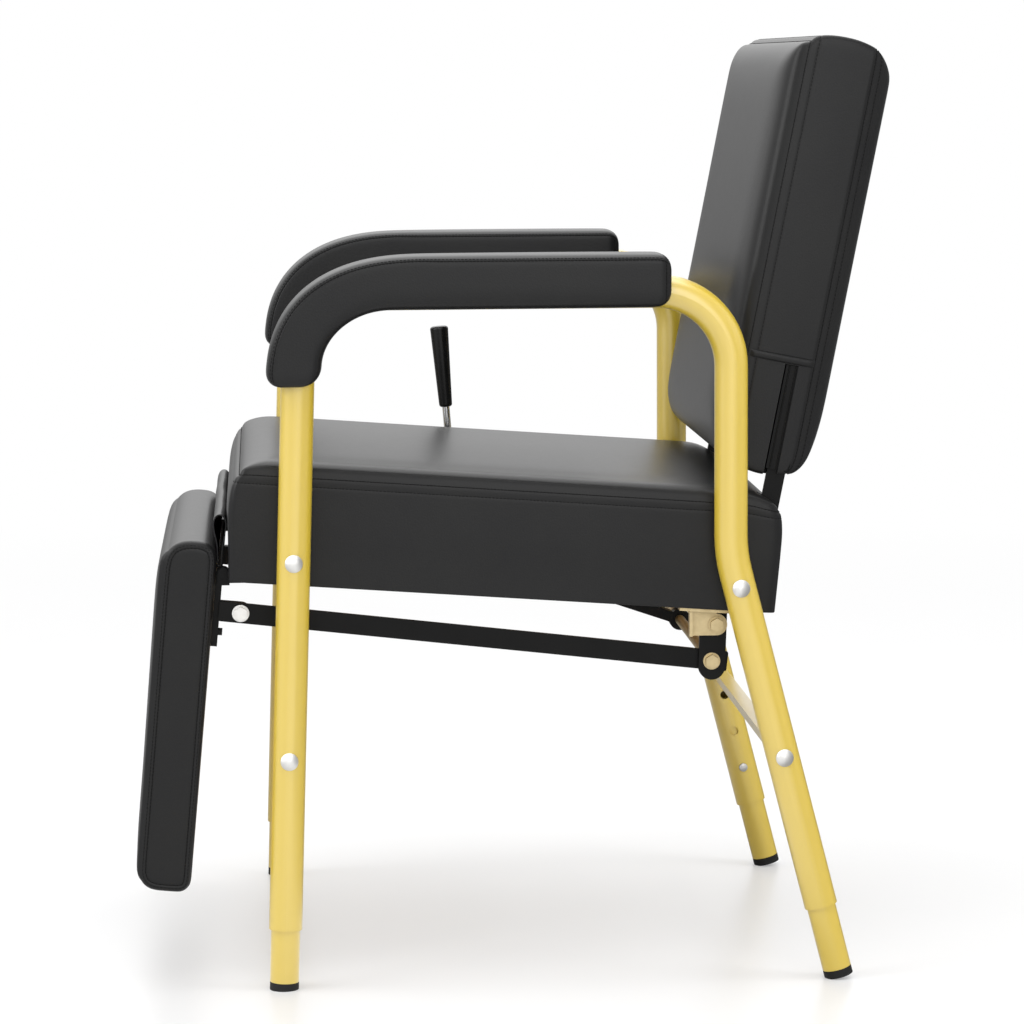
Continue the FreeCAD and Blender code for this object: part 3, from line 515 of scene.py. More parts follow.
def prism_cutter(outline, x0, x1):
    points = [(x0, y, z) for y, z in outline] + [(x1, y, z) for y, z in outline]
    faces = tube_ends(2, len(outline)) + tube_faces(2, len(outline))
    after = outline[1:] + outline[:1]
    if sum(y * z1 - y1 * z for (y, z), (y1, z1) in zip(outline, after)) < 0:
        faces = [list(f)[::-1] for f in faces]
    return make_object("cutter", world(points, FLAT), faces, VINYL)


def round_cutter(y, z, r, x0, x1, sides=40):
    turn = [2 * math.pi * i / sides for i in range(sides)]
    return prism_cutter([(y + r * math.cos(t), z + r * math.sin(t)) for t in turn], x0, x1)


def across(sign, inner, outer):
    """A range of X on the left or the right side, from its lower end to its upper one."""
    return sorted((sign * inner, sign * outer))


# Stitches, in metres. A seam's thread is pulled tight and so looks like one line.

STITCH = {"pitch": 0.0036, "length": 0.0030, "thick": 0.00034}
SEAM = {"pitch": 0.0034, "length": 0.0036, "thick": 0.00045}
STITCH_SIDES = 6
# A stitch takes its direction from the line this far before and after it.
STITCH_LOOK = 0.001
# Rings along one stitch: place as a share of its length, then width and lift as shares of its thickness.
STITCH_RINGS = [(-0.5, 0.35, -0.25), (-0.28, 1.0, 0.35), (0.28, 1.0, 0.35), (0.5, 0.35, -0.25)]


def stitch_row(line, outward, closed, pitch, length, thick):
    """Vertices and faces of one row of stitches that lie on a cushion's face."""
    if closed:
        line, outward = np.vstack([line, line[:1]]), np.vstack([outward, outward[:1]])
    far = np.concatenate([[0], np.cumsum(np.linalg.norm(np.diff(line, axis=0), axis=1))])
    count = max(2, int(far[-1] / pitch))
    at = (np.arange(count) + 0.5) * far[-1] / count

    def between(distance, values):
        return np.stack([np.interp(distance, far, values[:, a]) for a in range(3)], 1)

    ahead = unit(between(at + STITCH_LOOK, line) - between(at - STITCH_LOOK, line))
    up = between(at, outward)
    up = unit(up - ahead * np.sum(up * ahead, 1, keepdims=True))
    turns = [2 * math.pi * i / STITCH_SIDES for i in range(STITCH_SIDES)]
    points, faces = [], []
    for c, t, u, s in zip(between(at, line), ahead, up, np.cross(ahead, up)):
        base = len(points)
        for shift, wide, lift in STITCH_RINGS:
            for a in turns:
                out = u * (math.sin(a) * wide + lift) + s * math.cos(a) * wide
                points.append(c + t * shift * length + out * thick)
        faces += tube_faces(len(STITCH_RINGS), STITCH_SIDES, base)
        faces += tube_ends(len(STITCH_RINGS), STITCH_SIDES, base)
    return points, faces


def stitching(name, rows, seams, body):
    points, faces = [], []
    made = [stitch_row(*row, **STITCH) for row in rows] + [stitch_row(*row, **SEAM) for row in seams]
    for p, f in made:
        faces += [[i + len(points) for i in face] for face in f]
        points += p
    obj = make_object(name, points, faces, THREAD)
    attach(obj, body)


def row_of(obj, ids, closed=True, keep=None):
    """A seam row's points and outward directions on a finished cover, whose first vertices are the grid's."""
    p = points_of(obj.data)
    n = np.zeros(len(p) * 3)
    obj.data.vertex_normals.foreach_get("vector", n)
    n = n.reshape(-1, 3)
    ids = np.asarray(ids)
    if keep is not None:
        ids = ids[keep(p[ids])]
    return p[ids], n[ids], closed


def dress_cushion(obj, nodes, body):
    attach(obj, body)
    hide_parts(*nodes)


# Shared by the cushions

# Grid lines: their distances from an edge, then the step in the middle.
EDGE = [0, 1.7, 4.5, 8.5, 13.5, 20, 28, 38, 50]
STEP = 18
# How far the sides of seat and back swell out between their seams, and how far inwards that is felt.
SIDE_SWELL = 1.2
SWELL_REACH = 6


def side_form(x, hw, inset, bow):
    """x with both sides drawn in by inset, and swelling out again by a share, bow."""
    swell = SIDE_SWELL * bow * fade(hw - np.abs(x), SWELL_REACH)
    return np.sign(x) * (np.abs(x) * (1 - inset / hw) + swell)


# Seat, in its own frame: x across, u back from the front edge, h up from the underside

SEAT_HW = 246.0
SEAT_DEPTH = 534.0
SEAT_SEAM = 103.0
SEAT_STITCH = 96.0
SEAT_HEIGHTS = [0, 2, 6, 12, 24, 37, 50, 63, 76, 84, 91, 94.6, SEAT_STITCH, 97.4, 100, 101.5, SEAT_SEAM]
# The cover is free to swell between these heights, and on top from this far inside the seam.
SEAT_FREE = (12, 91)
SEAT_TOP_FREE = 5
# The top's rise over its seam, its further rise to the middle, and the width of its rolls along the edges.
SEAT_RISE = 15.6
SEAT_DOME = 4.0
SEAT_ROLLS = {"side": 30, "front": 38, "rear": 45}
# Where one sits: the share of sag, its distance from the front, and its reach across and along the seat.
SAG = 0.06
SAG_U = 250
SAG_REACH = (130, 150)
# The two ends. Each is drawn in at the seam, over some height, and again by a slope below some height, and is
# shifted as a whole. Then how far into the cushion that is felt.
SEAT_FRONT = {"seam": 8.6, "over": 40, "slope": 0.06, "below": 64.5, "shift": -2.0}
SEAT_REAR = {"seam": 5.0, "over": 34, "slope": 0.025, "below": 77, "shift": 1.5}
FRONT_REACH = 60
REAR_REACH = 50
# The top's fall at the rear: how much, how far into the cushion, and from what height up to the seam.
REAR_FALL = 5
REAR_FALL_REACH = 46
REAR_FALL_H = 60
# The front swells over the flap, and has a hollow below, where the raised legrest's edge comes.
FRONT_SWELL = 2.5
FRONT_SWELL_H = 56
HOLLOW = 3.0
HOLLOW_H = (12, 50)
HOLLOW_INSET = 9
# The wooden box inside: half its width, the cover's thickness at its ends, its height, and a place well below it.
BOX_HW = 244
BOX_SKIRT = 12
BOX_H = 62
UNDER_SEAT = -9
# Slots for the back's arms: their width across the chair and their outline in Y and Z.
SLOT_X = (219.5, 229)
SLOT = [(181, 323.4), (181, 372.5), (232.4, 446), (248.7, 516.8), (337, 516.8), (337, 323.4)]
# Notches for the legrest's hinge ears, on X, Y and Z.
EAR_X, EAR_Y, EAR_Z = (206, 223.5), (-294.2, -271), (387, 405.8)
# Holes in the sides, in Y and Z: the frame bolts and the lever.
SIDE_X = (240, 262)
BOLTS = [(-210.42, 414.8), (216.51, 385.0)]
BOLT_HOLE_R = 8.3
LEVER = (-30, 399)
LEVER_HOLE_R = 5
# In metres: stitches run along the sides, beyond this X, and the seam also across the front, before this Y.
STITCHED_X = 0.2345
STITCHED_Y = 0.2


def seat_end(h, seam, over, slope, below, shift):
    """How far one end of the seat is drawn in at height h."""
    return rounded(seam, SEAT_SEAM - h, over) + slope * np.clip(below - h, 0, None) + shift


def shape_seat(g):
    """Moves the grid to the seat's form. Gives which vertices are fixed, and each one's share of the swelling."""
    p = g.p
    x, u, h = p[:, 0].copy(), p[:, 1].copy(), p[:, 2].copy()
    side, front, rear, under_seam = SEAT_HW - np.abs(x), u, SEAT_DEPTH - u, SEAT_SEAM - h
    top = g.on(2, -1)
    at_front, at_rear = fade(front, FRONT_REACH), fade(rear, REAR_REACH)
    front_roll, rear_roll = ease(front, SEAT_ROLLS["front"]), ease(rear, SEAT_ROLLS["rear"])
    crown = meet(ease(side, SEAT_ROLLS["side"], 3.0), front_roll, rear_roll)
    sag = 1 - SAG * np.exp(-((x / SAG_REACH[0]) ** 2 + ((u - SAG_U) / SAG_REACH[1]) ** 2))
    dome = SEAT_DOME * (1 - (x / SEAT_HW) ** 2)
    p[:, 2] = np.where(top, SEAT_SEAM + (SEAT_RISE + dome) * crown * sag, h)
    p[:, 2] -= REAR_FALL * fade(rear, REAR_FALL_REACH) * rising(h, REAR_FALL_H, SEAT_SEAM - REAR_FALL_H)
    p[:, 1] += seat_end(h, **SEAT_FRONT) * at_front
    p[:, 1] -= seat_end(h, **SEAT_REAR) * at_rear
    swell = rising(h, FRONT_SWELL_H, 12) * rising(under_seam, 0, 12)
    p[:, 1] -= FRONT_SWELL * ease(side, 60) * at_front * swell
    hollow = rising(side, HOLLOW_INSET, 5) * rising(h, HOLLOW_H[0], 12) * rising(HOLLOW_H[1] - h, 0, 13)
    p[:, 1] += HOLLOW * hollow * at_front
    inset = rounded(5, front, 7) + rounded(6, rear, 12)
    p[:, 0] = side_form(x, SEAT_HW, inset, np.sin(np.pi * np.clip(h / SEAT_SEAM, 0, 1)))
    within = np.minimum(np.minimum(side, front), rear)
    low, high = SEAT_FREE
    fixed = (h <= low) | (~top & (h >= high)) | (top & (within < SEAT_TOP_FREE))
    free = np.where(top, within, np.minimum(h - low, high - h))
    return fixed, 1 - fade(np.maximum(free, 0), 60)


def seat_cutters():
    s = CLEAR
    low = (-BOX_HW - s, BOX_SKIRT - s, UNDER_SEAT)
    high = (BOX_HW + s, SEAT_DEPTH - BOX_SKIRT + s, BOX_H + s)
    cutters = [box_cutter(SEAT, low, high)]
    cutters += [prism_cutter(SLOT, *across(sign, *SLOT_X)) for sign in (1, -1)]
    cutters.append(round_cutter(*LEVER, LEVER_HOLE_R, *across(-1, *SIDE_X)))
    for sign in (-1, 1):
        x0, x1 = across(sign, *EAR_X)
        cutters.append(box_cutter(FLAT, (x0, EAR_Y[0], EAR_Z[0]), (x1, EAR_Y[1], EAR_Z[1])))
    for y, z in BOLTS:
        cutters += [round_cutter(y, z, BOLT_HOLE_R, *across(sign, *SIDE_X)) for sign in (1, -1)]
    return cutters


def on_seat_side(q):
    return np.abs(q[:, 0]) > STITCHED_X


def ahead_of_seat_rear(q):
    return (q[:, 1] < STITCHED_Y) | on_seat_side(q)


def seat_cushion():
    g = Grid(spaced(-SEAT_HW, SEAT_HW, EDGE, STEP), spaced(0, SEAT_DEPTH, EDGE, STEP), SEAT_HEIGHTS)
    fixed, share = shape_seat(g)
    seam_ids, stitch_ids = g.loop(2, -1), g.loop(2, SEAT_HEIGHTS.index(SEAT_STITCH))
    sink(g, (seam_ids, 0.2), (stitch_ids, 0.4))
    obj = make_object("seat_cushion_cover", world(g.p, SEAT), g.faces, VINYL)
    inflate(obj, fixed, pressure=3.0, cap=0.0018, share=share)
    subdivide(obj)
    rows = [row_of(obj, stitch_ids, False, on_seat_side)]
    seams = [row_of(obj, seam_ids, False, ahead_of_seat_rear)]
    carve(obj, seat_cutters())
    dress_cushion(obj, ["seat_cushion"], "chair")
    stitching("seat_stitching", rows, seams, "chair")


# Back, in its own frame: x across, y back from the front seam, v up

BACK_HW = 230.0
BACK_SIDE = 64.0
BACK_LOW = -165.0
BACK_HIGH = 262.0
BACK_STITCH = 8
BACK_DEPTHS = [0, 1.6, 4.6, 6.6, BACK_STITCH, 9.4, 12, 18, 26, 34, 42, 50, 57, 61, 62.6, BACK_SIDE]
# The cover is free to swell from this far inside the seams.
BACK_FREE = 5
# How far front and rear rise over their seams, and the width of their rolls along the edges.
FRONT_RISE = 20.5
FRONT_ROLLS = {"side": 45, "top": 36, "low": 60}
REAR_RISE = 22
REAR_ROLLS = {"side": 25, "top": 31, "low": 78}
# How far into the cushion the shaping of its top and its underside is felt.
BACK_REACH = 70
# The board inside: half its width, front and rear, and top.
BOARD_HW = 214
BOARD_Y = (44, 58.5)
BOARD_TOP = 236
# Pockets for the sleeves, the ways in for the arms' blades, and the slits that show them.
UNDER_BACK = -175
POCKET_X, POCKET_Y, POCKET_V = (211.7, 230.15), (37.9, 60.5), (-158.3, -55.7)
BLADE_X, BLADE_TOP = (211.7, 228.2), -158
SLIT_X, SLIT_Y, SLIT_TOP = (215, 240), (36.6, 49.8), -55.5
# The hem across each side, from its lower to its upper edge, and the creases along both.
HEM = (-54.2, -47.8)
CREASE_X, CREASE_Y = (229.6, 240), (3.0, 65.0)
CREASES = [(HEM[1] - 0.2, HEM[1] + 0.8), (HEM[0] - 0.8, HEM[0] + 0.2)]
# The hem's section: out from the side and up from its lower edge.
HEM_SECTION = [(-1.6, 0.0), (0.5, 0.05), (1.2, 0.9), (1.5, 2.4), (1.5, 4.2), (1.3, 5.6), (0.6, 6.35), (-1.6, 6.4)]
# Where the hem runs from and to, the number of its sections, and the length over which each end flattens.
HEM_Y = (1.2, BACK_SIDE + 0.8)
HEM_STEPS = 24
HEM_END = 5


def shape_back(g):
    """Moves the grid to the back's form. Gives which vertices are fixed, and each one's share of the swelling."""
    p = g.p
    x, y, v = p[:, 0].copy(), p[:, 1].copy(), p[:, 2].copy()
    side, up, down, deep = BACK_HW - np.abs(x), BACK_HIGH - v, v - BACK_LOW, y / BACK_SIDE
    front, rear = g.on(1, 0), g.on(1, -1)
    roll = FRONT_ROLLS
    crown = meet(ease(side, roll["side"], 2.5), ease(up, roll["top"]), ease(down, roll["low"]))
    roll = REAR_ROLLS
    over = 1 - (1 - rising(up, 0, roll["top"])) ** 2
    hump = meet(ease(side, roll["side"]), over, ease(down, roll["low"]))
    # The top falls to both seams, and the underside rises to them
    fall = rounded(10.4, y, 30) + 5.3 * rising(y, 36, 28) ** 2
    lift = 0.003 * (y - 34) ** 2
    p[:, 2] = v - fall * fade(up, BACK_REACH) + lift * fade(down, BACK_REACH)
    # Front and rear draw in towards the underside
    p[:, 1] = y + rounded(14, down, 42) * (1 - deep) - rounded(10, down, 24) * deep
    p[:, 1] += np.where(front, -FRONT_RISE * crown, 0) + np.where(rear, REAR_RISE * hump, 0)
    inset = rounded(6, down, 6, 3.0) + rounded(3, up, 10)
    p[:, 0] = side_form(x, BACK_HW, inset, np.sin(np.pi * deep))
    edge = np.minimum(np.minimum(side, up), down)
    return (~front & ~rear) | (edge < BACK_FREE), 1 - fade(edge, BACK_REACH)


def back_cutters():
    s = CLEAR
    low, high = (-BOARD_HW - s, BOARD_Y[0] - s, UNDER_BACK), (BOARD_HW + s, BOARD_Y[1] + s, BOARD_TOP + s)
    cutters = [box_cutter(BACK, low, high)]
    cuts = [
        (POCKET_X, POCKET_Y, POCKET_V),
        (BLADE_X, POCKET_Y, (UNDER_BACK, BLADE_TOP)),
        (SLIT_X, SLIT_Y, (UNDER_BACK, SLIT_TOP)),
    ]
    cuts += [(CREASE_X, CREASE_Y, crease) for crease in CREASES]
    for sign in (-1, 1):
        for xs, ys, vs in cuts:
            x0, x1 = across(sign, *xs)
            cutters.append(box_cutter(BACK, (x0, ys[0], vs[0]), (x1, ys[1], vs[1])))
    return cutters


def back_cushion():
    g = Grid(spaced(-BACK_HW, BACK_HW, EDGE, STEP), BACK_DEPTHS, spaced(BACK_LOW, BACK_HIGH, EDGE, STEP))
    fixed, share = shape_back(g)
    front_seam, rear_seam, rear_row = g.loop(1, 0), g.loop(1, -1), g.loop(1, -1, 1)
    stitch_ids = g.loop(1, BACK_DEPTHS.index(BACK_STITCH))
    sink(g, (front_seam, 0.2), (rear_seam, 0.8), (stitch_ids, 0.6))
    obj = make_object("back_cushion_cover", world(g.p, BACK), g.faces, VINYL)
    inflate(obj, fixed, pressure=3.0, cap=0.002, share=share)
    subdivide(obj)
    rows = [row_of(obj, stitch_ids), row_of(obj, rear_row)]
    seams = [row_of(obj, front_seam), row_of(obj, rear_seam)]
    carve(obj, back_cutters())
    dress_cushion(obj, ["back_cushion"], "back")
    stitching("back_stitching", rows, seams, "back")


def back_hem(name, sign):
    """The turned hem across the side of the back, over the slit that the arm goes in through."""
    ys = np.linspace(*HEM_Y, HEM_STEPS)
    points = []
    for y in ys:
        end = float(ease(min(y - ys[0], ys[-1] - y), HEM_END))
        side = BACK_HW + SIDE_SWELL * math.sin(math.pi * np.clip(y / BACK_SIDE, 0, 1))
        for out, v in HEM_SECTION:
            points.append((sign * (side + (out * end if out > 0 else out)), y, HEM[0] + v))
    m = len(HEM_SECTION)
    faces = tube_faces(HEM_STEPS, m) + tube_ends(HEM_STEPS, m)
    obj = make_object(f"back_hem_{name}", world(points, BACK), faces, VINYL)
    recalculate(obj)
    obj.data.set_sharp_from_angle(angle=math.radians(FOLD_ANGLE))
    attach(obj, "back")


# Legrest, in its own frame: x across, y back to 0 at its rear face, z up

REST_HW = 230.0
REST_THICK = 52.0
REST_LOW = -311.5
REST_HIGH = 32.6
REST_EDGE = [0, 2, 4.2, 5.6, 7, 8.4, 12, 18, 26]
# The cover is free to swell from this far inside the edges of the front.
REST_FREE = 6
# The front's rise, and its further rise above a height, over a run.
REST_RISE = 3.0
REST_MORE = 2.0
REST_MORE_Z, REST_MORE_RUN = -200, 200
# Corner radii seen from the side: front or rear, then lower or upper.
REST_CORNERS = {("front", "upper"): 26, ("rear", "upper"): 18, ("front", "lower"): 20, ("rear", "lower"): 13}
# Radius along the edges of the two sides, and the rows of the grid where seams and stitches run.
REST_EDGE_R = 6.0
REST_SEAM, REST_STITCH = 4, 2
# The board in its rear: half its width, thickness, lower and upper end, and a place well behind it.
REST_BOARD_HW = 221
REST_BOARD_T = 12
REST_BOARD = (-296, 8)
BEHIND_REST = 20


def rounded_corners(y, z):
    """Rounds the pad's corners in Y and Z, and carries the points inside along."""
    out = np.stack([y, z], 1)
    for (depth, height), r in REST_CORNERS.items():
        sy, sz = (1 if depth == "rear" else -1), (1 if height == "upper" else -1)
        cy = (0.0 if depth == "rear" else -REST_THICK) - sy * r
        cz = (REST_HIGH if height == "upper" else REST_LOW) - sz * r
        dy, dz = (y - cy) * sy, (z - cz) * sz
        here = (dy > 0) & (dz > 0)
        scale = np.maximum(dy, dz) / np.maximum(np.hypot(dy, dz), 1e-9)
        out[here, 0] = (cy + sy * dy * scale)[here]
        out[here, 1] = (cz + sz * dz * scale)[here]
    return out


def shape_rest(g):
    """Moves the grid to the pad's form. Gives which vertices are fixed, and each one's share of the swelling."""
    p = g.p
    x, y, z = p[:, 0].copy(), p[:, 1].copy(), p[:, 2].copy()
    q = rounded_corners(y, z)
    side, up, down = REST_HW - np.abs(x), REST_HIGH - z, z - REST_LOW
    front = g.on(1, 0)
    belly = meet(ease(side, 30), ease(up - 9, 44), ease(down - 8, 50))
    rise = REST_RISE + REST_MORE * rising(z, REST_MORE_Z, REST_MORE_RUN)
    p[:, 1] = q[:, 0] - np.where(front, rise * belly, 0)
    p[:, 2] = q[:, 1]
    # The edges of both sides are rounded, less at the rear, where the board lies
    rim = np.minimum(np.minimum(y + REST_THICK, -2 * y), np.minimum(up, down))
    over_x, over_rim = np.clip(REST_EDGE_R - side, 0, None), np.clip(REST_EDGE_R - rim, 0, None)
    kept = np.maximum(over_x, over_rim) / np.maximum(np.hypot(over_x, over_rim), 1e-9)
    half = REST_THICK / 2
    middle = np.stack([np.full_like(y, -half), np.clip(p[:, 2], REST_LOW + half, REST_HIGH - half)], 1)
    p[:, 1:] += (over_rim * (1 - kept))[:, None] * unit(middle - p[:, 1:], 1e-9)
    p[:, 0] -= np.sign(x) * over_x * (1 - kept)
    inside = np.minimum(np.minimum(side, up), down)
    return ~front | (inside < REST_FREE), 1 - fade(inside, 60)


def legrest_pad():
    depths = [-REST_THICK + e for e in REST_EDGE] + [-e for e in REST_EDGE[:-1]][::-1]
    g = Grid(spaced(-REST_HW, REST_HW, EDGE, STEP), depths, spaced(REST_LOW, REST_HIGH, REST_EDGE, STEP))
    fixed, share = shape_rest(g)
    seam_ids = [g.loop(0, side, REST_SEAM) for side in (0, -1)]
    stitch_ids = [g.loop(0, side, REST_STITCH) for side in (0, -1)]
    sink(g, *[(ids, 1.0) for ids in seam_ids])
    obj = make_object("legrest_pad_cover", world(g.p, REST), g.faces, VINYL)
    inflate(obj, fixed, pressure=2.0, cap=0.0012, share=share)
    subdivide(obj)
    rows = [row_of(obj, ids) for ids in stitch_ids]
    seams = [row_of(obj, ids) for ids in seam_ids]
    s = CLEAR
    low = (-REST_BOARD_HW - s, -REST_BOARD_T - s, REST_BOARD[0] - s)
    carve(obj, [box_cutter(REST, low, (REST_BOARD_HW + s, BEHIND_REST, REST_BOARD[1] + s))])
    dress_cushion(obj, ["legrest_pad"], "legrest")
    stitching("legrest_stitching", rows, seams, "legrest")


# Arm pads

# Half a ring round the pad: across from its middle, then down from the top, or up from the underside.
ARM_RING = [
    (0, 0), (8, 0), (14, 0.1), (19, 0.5), (23, 1.3), (25.8, 2.6), (27.5, 4.0), (28.2, 4.9), (28.5, 5.6),
    (28.75, 6.7), (29, 9), (29, 16), (29, 25.5),
]
ARM_RING_LOW = [(29, 20), (29, 13), (28.6, 8), (27.3, 4.8), (24.5, 2.2), (20, 0.6), (14, 0), (7, 0), (0, 0)]
ARM_HW = 29
# Points of the ring: the seam, the stitch row over it, and the lowest one of the seam round the rear end.
ARM_SEAM = 8
ARM_STITCH = ARM_SEAM - 2
ARM_SEAM_LOW = 17
# The seam's depth in metres, the ring from either end where it stops, and the rings at an end that are held.
ARM_SEAM_DEPTH = 0.0011
SEAM_RING = 3
HELD_RINGS = 4
# The straight part in Y and Z: rear end, its even rings from the first to the last, top and underside.
ARM_REAR = 149
ARM_RUN, ARM_RUN_STEPS = (123, -72), 13
ARM_TOP = 706.3
ARM_UNDER = 655.0
ARM_ENDS = [0, 0.7, 2.2, 4.8, 8.5, 13, 18]
# The bend: a superellipse outside and an ellipse inside, each with its centre and its reach in Y and Z.
ARM_BEND = 2.4
BEND_TURN = 83.8
OUTER_AT, OUTER_R = (-85, 581.3), (150, 125)
INNER_AT, INNER_R = (-112, 600), (70, 55)
BEND_STEPS = 20
# The lower end, and the inner side there.
ARM_LOW = 583
ARM_INNER_Y = -182.0
# Rounding of the ends: their corners, the inner corner of the lower end, and how far they narrow over what length.
ARM_CORNER = 13
ARM_HEEL = 19
ARM_NARROW, ARM_NARROW_RUN = 6, 8
# A distance from the ends at which no rounding is felt, and the sizes of the smaller rings that close an end.
ARM_FAR = 100.0
END_RINGS = (0.9, 0.75, 0.5)

# The frame's tube, on its middle line: the front leg's lean and its place at the floor, the top, and the bend.
TUBE_LEAN = 1.93
TUBE_FOOT_Y = -224.4
TUBE_TOP = 669.5
TUBE_BEND_R = 72.0
TUBE_BEND_STEPS = 20
# Its way through the pad: radius, sides, and where it starts on the leg and ends on the top.
TUBE_R = 16.35
TUBE_SIDES = 32
TUBE_FROM_Z = 535
TUBE_TO_Y = 172


def arm_stations():
    """Outer and inner points along the pad, with the distance to the nearer end and the inner corner's radius."""
    runs = [ARM_REAR - e for e in ARM_ENDS] + list(np.linspace(*ARM_RUN, ARM_RUN_STEPS))
    found = [((y, ARM_TOP), (y, ARM_UNDER)) for y in runs]
    for share in np.linspace(0, 1, BEND_STEPS + 1):
        a, b = math.radians(BEND_TURN * share), math.radians(90 * share)
        outer = (
            OUTER_AT[0] - OUTER_R[0] * math.sin(a) ** (2 / ARM_BEND),
            OUTER_AT[1] + OUTER_R[1] * math.cos(a) ** (2 / ARM_BEND),
        )
        inner = (INNER_AT[0] - INNER_R[0] * math.sin(b), INNER_AT[1] + INNER_R[1] * math.cos(b))
        found.append((outer, inner))
    for e in ARM_ENDS[:-1][::-1]:
        high = (ARM_LOW + e - OUTER_AT[1]) / OUTER_R[1]
        outer_y = OUTER_AT[0] - OUTER_R[0] * (1 - high ** ARM_BEND) ** (1 / ARM_BEND)
        found.append(((outer_y, ARM_LOW + e), (ARM_INNER_Y, ARM_LOW + e)))
    from_end = [ARM_REAR - y for y in runs] + [ARM_FAR] * BEND_STEPS + ARM_ENDS[::-1]
    heel = [ARM_CORNER] * (len(runs) + BEND_STEPS) + [ARM_HEEL] * len(ARM_ENDS)
    return found, from_end, heel


def arm_cover(sign):
    """Points and faces of the cover, the points in one ring and the number of rings."""
    stations, from_end, heel = arm_stations()
    half = [(x, w, False) for x, w in ARM_RING] + [(x, w, True) for x, w in ARM_RING_LOW]
    ring = half + [(-x, w, low) for x, w, low in half[-2:0:-1]]
    m, count = len(ring), len(stations)
    points = []
    for (outer, inner), e, r in zip(stations, from_end, heel):
        o, i = np.array(outer), np.array(inner)
        t = np.linalg.norm(o - i)
        down = (i - o) / t
        corner, heel_corner = rounded(ARM_CORNER, e, ARM_CORNER), rounded(r, e, r)
        narrow = 1 - rounded(ARM_NARROW, e, ARM_NARROW_RUN) / ARM_HW
        for x, w, low in ring:
            w = t - w if low else w
            w = corner + w * (t - corner - heel_corner) / t
            spot = o + down * w
            points.append((sign * HALF + x * narrow, spot[0], spot[1]))
    faces = tube_faces(count, m)
    for base, flip in ((0, True), ((count - 1) * m, False)):
        close_end(points, faces, base, m, flip)
    return points, faces, m, count


def close_end(points, faces, base, m, flip):
    """Closes one end with smaller and smaller rings, and a face in the middle."""
    ring = list(range(base, base + m))
    centre = np.mean([points[i] for i in ring], axis=0)
    for share in END_RINGS:
        start = len(points)
        points += [tuple(centre + (np.array(points[i]) - centre) * share) for i in range(base, base + m)]
        new = list(range(start, start + m))
        for b in range(m):
            c = (b + 1) % m
            quad = (ring[b], ring[c], new[c], new[b])
            faces.append(quad[::-1] if flip else quad)
        ring = new
    faces.append(ring[::-1] if flip else ring)


def tube_cutter(x):
    """The frame tube's way through an arm pad, a little larger than the tube."""
    lean = math.radians(TUBE_LEAN)
    slope = math.tan(lean)
    r = TUBE_BEND_R
    corner_y = TUBE_FOOT_Y + TUBE_TOP * slope
    reach = r / math.tan(math.radians((90 - TUBE_LEAN) / 2))
    cy, cz = corner_y + reach, TUBE_TOP - r
    path = [
        (TUBE_FOOT_Y + TUBE_FROM_Z * slope, TUBE_FROM_Z),
        (corner_y - reach * math.sin(lean), TUBE_TOP - reach * math.cos(lean)),
    ]
    turns = np.radians(np.linspace(180 - TUBE_LEAN, 90, TUBE_BEND_STEPS))
    path += [(cy + r * math.cos(t), cz + r * math.sin(t)) for t in turns[1:]]
    path.append((TUBE_TO_Y, TUBE_TOP))
    path = np.array(path)
    points = []
    for (y, z), (ty, tz) in zip(path, unit(np.gradient(path, axis=0))):
        for i in range(TUBE_SIDES):
            a = 2 * math.pi * i / TUBE_SIDES
            c, s = TUBE_R * math.cos(a), TUBE_R * math.sin(a)
            points.append((x + c, y - tz * s, z + ty * s))
    faces = tube_faces(len(path), TUBE_SIDES) + tube_ends(len(path), TUBE_SIDES)
    cutter = make_object("cutter", world(points, FLAT), faces, VINYL)
    recalculate(cutter)
    return cutter


def arm_pad(name, sign):
    points, faces, m, count = arm_cover(sign)
    rings = range(SEAM_RING, count - SEAM_RING)
    seam_ids, stitch_ids = [], []
    # Points are counted either way round the ring, for the pad's two sides
    for way in (1, -1):
        up_the_rear = [SEAM_RING * m + way * r % m for r in range(ARM_SEAM_LOW, ARM_SEAM, -1)]
        seam_ids.append(up_the_rear + [ring * m + way * ARM_SEAM % m for ring in rings])
        stitch_ids.append([ring * m + way * ARM_STITCH % m for ring in rings[1:]])
    obj = make_object(f"arm_pad_cover_{name}", world(points, FLAT), faces, VINYL)
    recalculate(obj)
    pts, outward, _ = row_of(obj, range(len(points)))
    for ids in seam_ids:
        pts[ids] -= outward[ids] * ARM_SEAM_DEPTH
    obj.data.vertices.foreach_set("co", pts.ravel())
    obj.data.update()
    along, around = np.divmod(np.arange(len(points)), m)
    from_seam = np.minimum(np.abs(around - ARM_SEAM), np.abs(around - (m - ARM_SEAM)))
    fixed = (from_seam <= 1) | (along < HELD_RINGS) | (along >= count - HELD_RINGS)
    inflate(obj, fixed, pressure=2.0, cap=0.0008, share=rising(from_seam, 1, 4))
    subdivide(obj)
    rows = [row_of(obj, ids, False) for ids in stitch_ids]
    seams = [row_of(obj, ids, False) for ids in seam_ids]
    carve(obj, [tube_cutter(sign * HALF)])
    dress_cushion(obj, [f"arm_pad_{name}"], "chair")
    stitching(f"arm_stitching_{name}", rows, seams, "chair")


# Flap over the gap between seat and legrest, in Y and Z from its front foot over the top to its rear foot

FLAP_PATH = [
    (-283.4, 403.5), (-283.4, 408), (-283.3, 415), (-283.4, 423), (-284.6, 431), (-286.0, 437), (-286.7, 443),
    (-286.2, 448.3), (-283.8, 452.9), (-280.2, 454.6), (-276.7, 453.0), (-274.7, 448.8), (-274.3, 444),
    (-275.4, 437), (-277.2, 429), (-278.8, 420), (-279.6, 411), (-280.2, 403.5),
]
FLAP_HW = 206
FLAP_HALF_T = 0.6
FLAP_STEPS = 60
